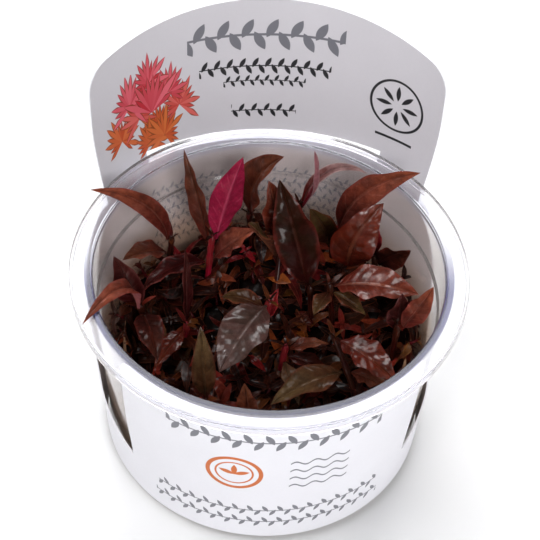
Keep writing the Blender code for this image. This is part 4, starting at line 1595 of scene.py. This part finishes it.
@dataclass
class Stems:
    """The upright stems, with a joint where each leaf leaves, and young leaves at their tips."""

    names: tuple[str, ...]
    foot_radius: float = 1.1
    tip_radius: float = 0.7
    sides: int = 14
    step: float = 0.8
    top: float = 0.985
    joint_rise: float = 0.28
    joint_length: float = 0.9
    joint_reach: float = 3.0
    closing: float = 1.2
    closed: float = 0.35
    tip_drop: float = 0.9
    red: StemFinish = StemFinish("crimson stem", (128, 12, 34), (92, 10, 20), (160, 40, 60),
                                 (104, 34, 30))
    # The near-black finish of the stems not listed as crimson is painted shade: these stems stand deep in
    # the growth's shadow.
    dark: StemFinish = StemFinish("painted shade stem", (38, 5, 5), (44, 15, 7), (72, 30, 22), (50, 22, 12))
    crimson: tuple[str, ...] = ("stem_back_left", "stem_left", "stem_middle", "stem_front_middle")
    tip_pairs: tuple[tuple[float, float], ...] = ((5.2, 48), (3.6, 68))

    def build(self, joints: list[Vector], tips: bpy.types.Material) -> None:
        """Makes the stems.

        Args:
            joints: where the large leaves leave their stems.
            tips: the finish of the young leaves at the tips.
        """
        crimson, dark = self.red.build(), self.dark.build()
        for name in self.names:
            points, _ = node_mesh(name)
            low = min(p.z for p in points)
            feet = [p for p in points if p.z < low + MERGE_GAP]
            foot = sum(feet, Vector()) / len(feet)
            tip = max(points, key=lambda p: p.z)
            height = tip.z - foot.z

            def axis(z: float) -> Vector:
                """The middle of the stem at a height; it leans further the higher it is."""
                share = max((z - foot.z) / height, 0.0) ** 2
                return Vector((foot.x + (tip.x - foot.x) * share, foot.y + (tip.y - foot.y) * share, z))

            own = [j for j in joints if (axis(j.z) - j).length < self.joint_reach]
            count = ceil(height * self.top / self.step)
            path, radii, marks = [], [], []
            for k in range(count + 1):
                z = foot.z + height * self.top * k / count
                near = max((exp(-((z - j.z) / self.joint_length) ** 2) for j in own), default=0.0)
                radius = self.foot_radius + (self.tip_radius - self.foot_radius) * (z - foot.z) / height
                close = 1 - self.closed * smooth_step(z, tip.z - self.closing, tip.z)
                path.append(axis(z))
                radii.append((radius + self.joint_rise * near) * close)
                marks += [near] * self.sides
            parts = Parts.empty("joint", "under", "shade")
            parts.add(*tube(path, radii, self.sides), joint=marks + [0.0, 0.0], under=0.0, shade=0.5)
            # Stems outside crimson take the near-black finish, painted shade for stems deep in the growth.
            finish = crimson if name in self.crimson else dark
            seat(parts.piece(name + "_stalk", [finish], 50.0), "stem", name)
            self.add_tip(name, axis(tip.z - self.tip_drop), tips)

    def add_tip(self, name: str, base: Vector, finish: bpy.types.Material) -> None:
        """Makes the crossed pairs of young leaves at a stem's tip.

        Args:
            name: the stem's name.
            base: where the leaves start.
            finish: their finish.
        """
        chance = Random(name)
        bud = Parts.empty("under", "shade", "stalk")
        start = chance.uniform(0, 360)
        for pair, (length, rise) in enumerate(self.tip_pairs):
            for side in (0, 180):
                blade = SmallBlade(length * chance.uniform(0.85, 1.1), length * 0.34, rise, 30,
                                   chance.uniform(-20, 20))
                blade.add_to(bud, base, start + side + 90 * pair + chance.uniform(-12, 12),
                             shade=chance.random(), stalk=0.0)
        seat(bud.piece(name + "_tip", [finish], 70.0), "stem")


@dataclass(frozen=True)
class GrowthFinish:
    """The low growth: each small leaf red-brown, olive, crimson or near black by its own random shade
    value; the ramp's near-black end, which the heart takes, is painted shade.
    """

    # The near-black low end of the ramp, which the heart takes, is painted shade; the other tones differ at
    # random from leaf to leaf.
    tones: tuple[tuple[float, Screen], ...] = (
        (0.0, (9, 2, 1)), (0.24, (26, 5, 3)), (0.44, (50, 14, 6)), (0.60, (30, 14, 4)),
        (0.76, (66, 9, 9)), (0.87, (76, 44, 15)), (0.96, (112, 12, 24)), (1.0, (132, 68, 22)))
    edge: Colour = srgb(120, 66, 44)
    patch: Colour = srgb(18, 5, 2)
    under: Colour = srgb(64, 18, 16)
    stalk: Colour = srgb(66, 7, 14)

    def build(self) -> bpy.types.Material:
        """Makes the material, from the shared leaf surface.

        Returns:
            The material.
        """
        film = Wetness.WET.value
        finish, tree, shader = principled("low growth", Coat_Roughness=film.roughness, Coat_IOR=film.index,
                                          Specular_IOR_Level=0.04)
        ramp = tree.put("ShaderNodeValToRGB", (tree.attribute("shade"),))
        elements = ramp.color_ramp.elements
        while len(elements) < len(self.tones):
            elements.new(0.5)
        for element, (place, tone) in zip(elements, self.tones):
            element.position = place
            element.color = (*srgb(*tone), 1.0)
        base = Value(tree, ramp.outputs[0])
        light = tree.mix(0.3, base, self.edge)
        look = tree.use(leaf_group(), Base=base, Tip=base, Edge=light, Vein=light, Patch=self.patch,
                        Under=self.under, Patchiness=0.5, Veining=0.4, Wet=film.weight,
                        Wrinkle=film.wrinkle)
        colour = tree.mix(tree.attribute("stalk"), look["Colour"], self.stalk)
        tree.feed(shader, {"Base Color": colour, "Roughness": look["Roughness"],
                           "Coat Weight": look["Coat"], "Normal": tree.bump(look["Height"], 0.5, 0.0003)})
        return finish


@dataclass(frozen=True)
class SideFinish:
    """Brown stalks and roots pressed against the clear wall, in soft upright bands."""

    dark: Colour = srgb(84, 52, 34)
    light: Colour = srgb(186, 148, 118)
    spot: Colour = srgb(64, 26, 18)
    around: float = 9.0
    upwards: float = 60.0

    def build(self) -> bpy.types.Material:
        """Makes the material.

        Returns:
            The material.
        """
        finish, tree, shader = principled("growth side", Roughness=0.55, Specular_IOR_Level=0.1)
        x, y, z = tree.parts(tree.own())
        place = tree.join(tree.math("ARCTAN2", y, x) * self.around, z * self.upwards, 0.0)
        bands = tree.span(tree.noise(place, 1.0, 4.0, 0.6), 0.35, 0.65)
        spots = tree.span(tree.noise(place, 7.0), 0.45, 0.65)
        colour = tree.mix(spots * 0.6, tree.mix(bands, self.dark, self.light), self.spot)
        tree.feed(shader, {"Base Color": colour, "Normal": tree.bump(bands, 0.4, 0.0004)})
        return finish


@dataclass(frozen=True)
class Scatter:
    """How prototypes are scattered as one piece; spacing is in millimetres, lean in radians."""

    piece: str
    spacing: float
    smallest: float
    largest: float
    lean: float
    upright: float
    seed: int


@dataclass
class LowGrowth:
    """The tangle of young shoots and small leaves between the stems, scattered over a dark heart whose
    near-black tone is painted shade.
    """

    SHOOTS = Scatter("young_shoots", 7.0, 0.75, 1.1, 0.4, 0.6, 12)
    SINGLES = Scatter("young_leaves", 3.2, 0.6, 1.1, 0.6, 0.45, 13)

    depth: float = 4.2
    radius: float = 41.8
    side_depth: float = 3.4
    foot: float = 12.3
    edge: float = 24.5
    crown: float = 29.5
    back_rise: float = 6.5
    lumps: float = 3.5
    lump_size: float = 7.0
    mound_place: tuple[float, float] = (2.0, 29.0)
    mound_radius: float = 26.0
    mound_rise: float = 7.0
    bank_rise: float = 14.5
    bank_start: float = 0.77
    bank_top: float = 0.94
    bank_turn: tuple[float, float] = (0.62, 0.95)
    bank_lumps: float = 0.5
    rings: int = 22
    sides: int = 72
    side_levels: tuple[float, ...] = (0.35, 0.7)
    top_share: float = 0.97
    rough_size: float = 2.6
    side_lumps: float = 0.8
    # The heart's place on the growth ramp, at its near-black end: painted shade deep between the leaves.
    heart_painted_shade: float = 0.02
    shoots: int = 12
    singles: int = 16
    shoot_stalk: tuple[float, float] = (0.55, 0.4)
    shoot_root: float = -2.0
    shoot_pairs: tuple[tuple[float, float, float], ...] = ((0.3, 10.0, 22), (0.85, 7.0, 44),
                                                           (1.0, 3.4, 68))
    seed: int = 11
    free_share: float = 0.96
    soft_share: float = 0.04
    pressed: float = 0.8
    press_gap: float = 0.5

    def height(self, x: float, y: float) -> float:
        """How high the leaves' tips reach: a lumpy dome, a mound at the back and a bank at either side.

        Args:
            x: the place across.
            y: the place from front to back.

        Returns:
            The height.
        """
        radius = hypot(x, y)
        share = radius / self.radius
        dome = self.edge + (self.crown - self.edge) * (1 - share ** 3)
        slope = self.back_rise * y / self.radius
        away = hypot(x - self.mound_place[0], y - self.mound_place[1]) / self.mound_radius
        mound = self.mound_rise * (1 - smooth_step(away, 0.0, 1.0))
        sideways = smooth_step(abs(x) / max(radius, self.lump_size), *self.bank_turn)
        bank = sideways * smooth_step(share, self.bank_start, self.bank_top)
        lumps = noise.noise(Vector((x / self.lump_size, y / self.lump_size, 4.0))) * self.lumps
        return dome + slope + mound + self.bank_rise * bank + lumps * (1 - self.bank_lumps * bank)

    def heart_top(self, x: float, y: float) -> float:
        """How high the dark heart reaches."""
        rough = noise.noise(Vector((x / self.rough_size, y / self.rough_size, 3.0)))
        return self.height(x, y) - self.depth + rough

    def heart(self, finish: bpy.types.Material) -> bpy.types.Object:
        """Makes the dark lumpy mass below the leaves' tips, near black as painted shade deep between the
        leaves.

        Args:
            finish: the finish of its top.

        Returns:
            The object.
        """
        wide = self.radius - self.side_depth
        turns = circle(self.sides)
        rings = [[Vector((wide * cos(t), wide * sin(t), self.foot)) for t in turns]]
        for level in self.side_levels:
            rings.append([])
            for t in turns:
                swell = wide + noise.noise(Vector((cos(t) * 4, sin(t) * 4, level * 5))) * self.side_lumps
                x, y = wide * cos(t) * self.top_share, wide * sin(t) * self.top_share
                z = self.foot + (self.heart_top(x, y) - self.foot) * level
                rings[-1].append(Vector((swell * cos(t), swell * sin(t), z)))
        side = len(rings) * self.sides
        for ring in range(self.rings):
            share = self.top_share * (1 - ring / self.rings) ** 0.8
            around = ((wide * share * cos(t), wide * share * sin(t)) for t in turns)
            rings.append([Vector((x, y, self.heart_top(x, y))) for x, y in around])
        points, faces = skin(rings, Vector((0, 0, self.foot)), Vector((0, 0, self.heart_top(0, 0))))
        parts = Parts.empty("under", "shade", "stalk")
        parts.add(points, faces, [(0.3, 0.5)] * len(points), under=0.0, shade=self.heart_painted_shade, stalk=0.0)
        piece = parts.piece("growth_heart", [finish, SideFinish().build()], 80.0)
        for face in piece.data.polygons[:side]:
            face.material_index = 1
        return piece

    def shoot(self, chance: Random) -> Parts:
        """A young shoot: a stalk with crossed pairs of leaves.

        Args:
            chance: the random draws.

        Returns:
            The shoot's points and faces.
        """
        parts = Parts.empty("under", "stalk")
        height = chance.uniform(3.2, 4.6)
        path = [Vector((0, 0, self.shoot_root)), Vector((0, 0, height))]
        parts.add(*tube(path, list(self.shoot_stalk), 6), under=0.0, stalk=1.0)
        start = chance.uniform(0, 90)
        for pair, (share, length, rise) in enumerate(self.shoot_pairs):
            for side in (0, 180):
                size = length * chance.uniform(0.75, 1.15)
                blade = SmallBlade(size, size * chance.uniform(0.36, 0.46), rise + chance.uniform(-10, 10),
                                   chance.uniform(25, 60), chance.uniform(-40, 40), chance.uniform(-25, 25))
                heading = start + 90 * pair + side + chance.uniform(-14, 14)
                blade.add_to(parts, Vector((0, 0, height * share)), heading, stalk=0.0)
        return parts

    @staticmethod
    def single(chance: Random) -> Parts:
        """A single young leaf.

        Args:
            chance: the random draws.

        Returns:
            The leaf's points and faces.
        """
        parts = Parts.empty("under", "stalk")
        size = chance.uniform(8.0, 14.0)
        blade = SmallBlade(size, size * chance.uniform(0.34, 0.44), chance.uniform(25, 60),
                           chance.uniform(20, 75), chance.uniform(-60, 60), chance.uniform(-40, 40))
        blade.add_to(parts, Vector((0, 0, -0.5)), 0.0, stalk=0.0)
        return parts

    @staticmethod
    def pile(name: str, prototypes: list[Parts]) -> bpy.types.Collection:
        """Makes prototypes in a collection of their own.

        Args:
            name: the collection's name.
            prototypes: what each is made from.

        Returns:
            The collection.
        """
        made = bpy.data.collections.new(name)
        bpy.context.scene.collection.children.link(made)
        for number, parts in enumerate(prototypes):
            piece = parts.piece(f"{name}_{number}", [], 70.0)
            bpy.context.scene.collection.objects.unlink(piece)
            made.objects.link(piece)
        return made

    @staticmethod
    def scatter_tree() -> bpy.types.NodeTree:
        """The Geometry Nodes tree that stands prototypes on a surface at random.

        Returns:
            The tree.
        """
        made = bpy.data.node_groups.new("scatter young shoots", "GeometryNodeTree")
        made.is_modifier = True
        sockets = {"Geometry": "Geometry", "Prototypes": "Collection", "Finish": "Material",
                   "Spacing": "Float", "Smallest": "Float", "Largest": "Float", "Lean": "Float",
                   "Upright": "Float", "Seed": "Int"}
        for name, kind in sockets.items():
            made.interface.new_socket(name, in_out="INPUT", socket_type="NodeSocket" + kind)
        made.interface.new_socket("Geometry", in_out="OUTPUT", socket_type="NodeSocketGeometry")
        tree = Tree(made)
        start = tree.put("NodeGroupInput")
        at = {name: Value(tree, start.outputs[name]) for name in sockets}

        def chance(kind: str, low: Value | float | tuple, high: Value | float | tuple,
                   salt: int) -> Value:
            """A random value for each point."""
            inputs = {"Min": low, "Max": high, "Seed": at["Seed"] + salt}
            return tree.get("FunctionNodeRandomValue", inputs, "Value", data_type=kind)

        spread = tree.put("GeometryNodeDistributePointsOnFaces",
                          {"Mesh": at["Geometry"], "Distance Min": at["Spacing"], "Density Max": 2.0e6,
                           "Seed": at["Seed"]}, distribute_method="POISSON")
        points, normal = (Value(tree, spread.outputs[name]) for name in ("Points", "Normal"))
        way = tree.get("ShaderNodeMix", {"Factor": at["Upright"], "A": normal, "B": (0, 0, 1)}, "Result",
                       data_type="VECTOR")
        rotation = tree.get("FunctionNodeAlignRotationToVector", {"Vector": way}, axis="Z")
        lean = at["Lean"]
        turn = chance("FLOAT_VECTOR", (0, 0, -pi), (0, 0, pi), 1)
        tilt = tree.join(chance("FLOAT", lean * -1.0, lean, 2), chance("FLOAT", lean * -1.0, lean, 3), 0.0)
        for angles in (turn, tilt):
            rotation = tree.get("FunctionNodeRotateRotation", {"Rotation": rotation, "Rotate By": angles},
                                rotation_space="LOCAL")
        pool = tree.get("GeometryNodeCollectionInfo", {"Collection": at["Prototypes"],
                                                       "Separate Children": True, "Reset Children": True})
        stood = tree.get("GeometryNodeInstanceOnPoints",
                         {"Points": points, "Instance": pool, "Pick Instance": True,
                          "Instance Index": chance("INT", 0, 999, 5), "Rotation": rotation,
                          "Scale": chance("FLOAT", at["Smallest"], at["Largest"], 4)})
        toned = tree.get("GeometryNodeStoreNamedAttribute",
                         {"Geometry": stood, "Name": "shade", "Value": chance("FLOAT", 0.0, 1.0, 6)},
                         data_type="FLOAT", domain="INSTANCE")
        solid = tree.get("GeometryNodeRealizeInstances", {"Geometry": toned})
        dressed = tree.get("GeometryNodeSetMaterial", {"Geometry": solid, "Material": at["Finish"]})
        tree.put("NodeGroupOutput", (dressed,))
        return made

    def scattered(self, plan: Scatter, carrier: bpy.types.Object, made: bpy.types.NodeTree,
                  prototypes: bpy.types.Collection, finish: bpy.types.Material) -> bpy.types.Object:
        """Scatters prototypes over a carrier and keeps the result as a plain mesh.

        Args:
            plan: how they are scattered.
            carrier: the surface.
            made: the scatter tree.
            prototypes: what is scattered.
            finish: their finish.

        Returns:
            The new piece.
        """
        values = {"Prototypes": prototypes, "Finish": finish, "Spacing": plan.spacing * MM,
                  "Smallest": plan.smallest, "Largest": plan.largest, "Lean": plan.lean,
                  "Upright": plan.upright, "Seed": plan.seed}
        modifier = carrier.modifiers.new("scatter", "NODES")
        modifier.node_group = made
        for item in made.interface.items_tree:
            if item.in_out == "INPUT" and item.name in values:
                modifier[item.identifier] = values[item.name]
        carrier.update_tag()
        graph = bpy.context.evaluated_depsgraph_get()
        mesh = bpy.data.meshes.new_from_object(carrier.evaluated_get(graph), preserve_all_data_layers=True,
                                               depsgraph=graph)
        carrier.modifiers.remove(modifier)
        mesh.name = plan.piece
        piece = bpy.data.objects.new(plan.piece, mesh)
        bpy.context.scene.collection.objects.link(piece)
        self.press(piece)
        return piece

    def press(self, piece: bpy.types.Object) -> None:
        """Presses what reaches past the cup's wall or above the growth's top back inside.

        Args:
            piece: the piece whose points are moved.
        """
        spots = np.zeros(len(piece.data.vertices) * 3, np.float32)
        piece.data.vertices.foreach_get("co", spots)
        spots = spots.reshape(-1, 3)
        reach = np.hypot(spots[:, 0], spots[:, 1])
        limit = self.radius * MM
        over = reach > limit * self.free_share
        past = (reach[over] / limit - self.free_share) / self.soft_share
        soft = limit * (self.free_share + self.soft_share * np.tanh(past))
        spots[over, :2] *= (soft / reach[over])[:, None]
        tops = np.array([self.height(x / MM, y / MM) for x, y in spots[:, :2]]) * MM
        excess = np.maximum(spots[:, 2] - tops + self.press_gap * MM, 0)
        spots[:, 2] = np.maximum(spots[:, 2] - excess * self.pressed, self.foot * MM)
        piece.data.vertices.foreach_set("co", spots.ravel())
        piece.data.update()

    def build(self, finish: bpy.types.Material) -> None:
        """Makes the heart, the shoots and the single leaves.

        Args:
            finish: the finish of all three.
        """
        heart = self.heart(finish)
        made = self.scatter_tree()
        chance = Random(self.seed)
        piles = {self.SHOOTS: self.pile("shoot", [self.shoot(chance) for _ in range(self.shoots)]),
                 self.SINGLES: self.pile("single", [self.single(chance) for _ in range(self.singles)])}
        pieces = [self.scattered(plan, heart, made, pile, finish) for plan, pile in piles.items()]
        for pile in piles.values():
            for piece in list(pile.objects):
                bpy.data.objects.remove(piece)
            bpy.data.collections.remove(pile)
        seat(heart, "undergrowth", "undergrowth")
        for piece in pieces:
            seat(piece, "undergrowth")


# The studio

@dataclass(frozen=True)
class PaleFloor:
    """A plain pale floor, faintly clouded with two tones."""

    one: Colour = (0.86, 0.86, 0.87)
    other: Colour = (0.9, 0.9, 0.9)

    def build(self) -> bpy.types.Material:
        """Makes the material.

        Returns:
            The material.
        """
        pale, tree, shader = principled("pale floor", Roughness=0.7, Specular_IOR_Level=0.2)
        tree.feed(shader, {"Base Color": tree.mix(tree.noise(tree.own(), 30.0), self.one, self.other)})
        return pale


@dataclass(frozen=True)
class Lamp:
    """A soft square light that faces the cup; place and size are in metres, power in watts."""

    AIM = Vector((0.0, 0.0, 0.05))

    name: str
    place: tuple[float, float, float]
    size: float
    power: float

    def hang(self) -> None:
        """Hangs the light."""
        light = bpy.data.lights.new(self.name, "AREA")
        light.shape = "SQUARE"
        light.size = self.size
        light.energy = self.power
        lamp = bpy.data.objects.new(self.name, light)
        lamp.location = self.place
        lamp.rotation_euler = (Vector(self.place) - self.AIM).to_track_quat("Z", "Y").to_euler()
        bpy.context.scene.collection.objects.link(lamp)


@dataclass
class Studio:
    """The floor, the soft lights and the camera at the photograph's angle."""

    LAMPS = (Lamp("back light", (0.04, 0.40, 0.48), 0.44, 3.0),
             Lamp("top light", (-0.30, 0.0, 0.60), 0.40, 2.3),
             Lamp("front light", (0.22, -0.70, 0.50), 0.40, 4.2))

    rim_height: float = 60.0
    distance: float = 325.1
    elevation: float = 48.64
    tilt: float = 3.21
    turn: float = -4.8
    aim: tuple[float, float] = (270.0, 263.0)
    focal_pixels: float = 1300.0
    sensor: float = 36.0
    nearest: float = 0.01
    floor_size: float = 3.0
    horizon: tuple[float, float] = (-0.05, 0.55)
    sky_low: float = 0.66
    sky_high: float = 0.07

    def camera(self) -> None:
        """Sets the camera."""
        up, roll = radians(self.elevation), radians(self.tilt)
        back = Vector((0, -cos(up), sin(up)))
        level = Vector((1, 0, 0))
        upwards = back.cross(level)
        right, over = level * cos(roll) + upwards * sin(roll), upwards * cos(roll) - level * sin(roll)
        scale = self.distance / self.focal_pixels
        middle = FRAME_PIXELS / 2
        eye = Vector((0, 0, self.rim_height)) + back * self.distance
        eye += over * (self.aim[1] - middle) * scale - right * (self.aim[0] - middle) * scale
        spin = Matrix.Rotation(radians(self.turn), 3, "Z")
        axes = Matrix((spin @ right, spin @ over, spin @ back)).transposed()
        lens = bpy.data.cameras.new("camera")
        lens.sensor_width = self.sensor
        lens.lens = self.focal_pixels / FRAME_PIXELS * self.sensor
        lens.clip_start = self.nearest
        camera = bpy.data.objects.new("camera", lens)
        camera.matrix_world = Matrix.Translation(spin @ eye * MM) @ axes.to_4x4()
        bpy.context.scene.collection.objects.link(camera)
        bpy.context.scene.camera = camera

    def sky(self) -> None:
        """Sets a white surround that is bright low down and dim overhead."""
        world = bpy.data.worlds.new("studio")
        bpy.context.scene.world = world
        world.use_nodes = True
        tree = Tree(world.node_tree)
        rise = tree.parts(tree.get("ShaderNodeTexCoord", output="Generated"))[2]
        strength = tree.span(rise, *self.horizon, self.sky_low, self.sky_high)
        background = world.node_tree.nodes["Background"]
        tree.feed(background, {"Color": (1.0, 1.0, 1.0), "Strength": strength})

    def floor(self) -> None:
        """Lays the pale floor."""
        half = self.floor_size / 2 / MM
        corners = [(-half, -half, 0), (half, -half, 0), (half, half, 0), (-half, half, 0)]
        make_object("floor", corners, [(0, 1, 2, 3)], [PaleFloor().build()])

    def build(self) -> None:
        """Lays the floor and sets the lights and the camera."""
        self.floor()
        self.sky()
        for lamp in self.LAMPS:
            lamp.hang()
        bpy.context.scene.view_settings.view_transform = "Standard"
        self.camera()


def main() -> None:
    """Builds the cup, the card and the plant, and reports each piece."""
    logging.basicConfig(level=logging.INFO, format="%(message)s")
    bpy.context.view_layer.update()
    cup = Cup()
    cup.build()
    Gel(cup).build()
    CardWrap(cup).build()
    joints = [Leaf(name, look).build() for name, look in LEAF_LOOKS.items()]
    growth = GrowthFinish().build()
    Stems(tuple(sorted(n for n in frame["nodes"] if n.startswith("stem_")))).build(joints, growth)
    LowGrowth().build(growth)
    Studio().build()


if __name__ == "__main__":
    main()
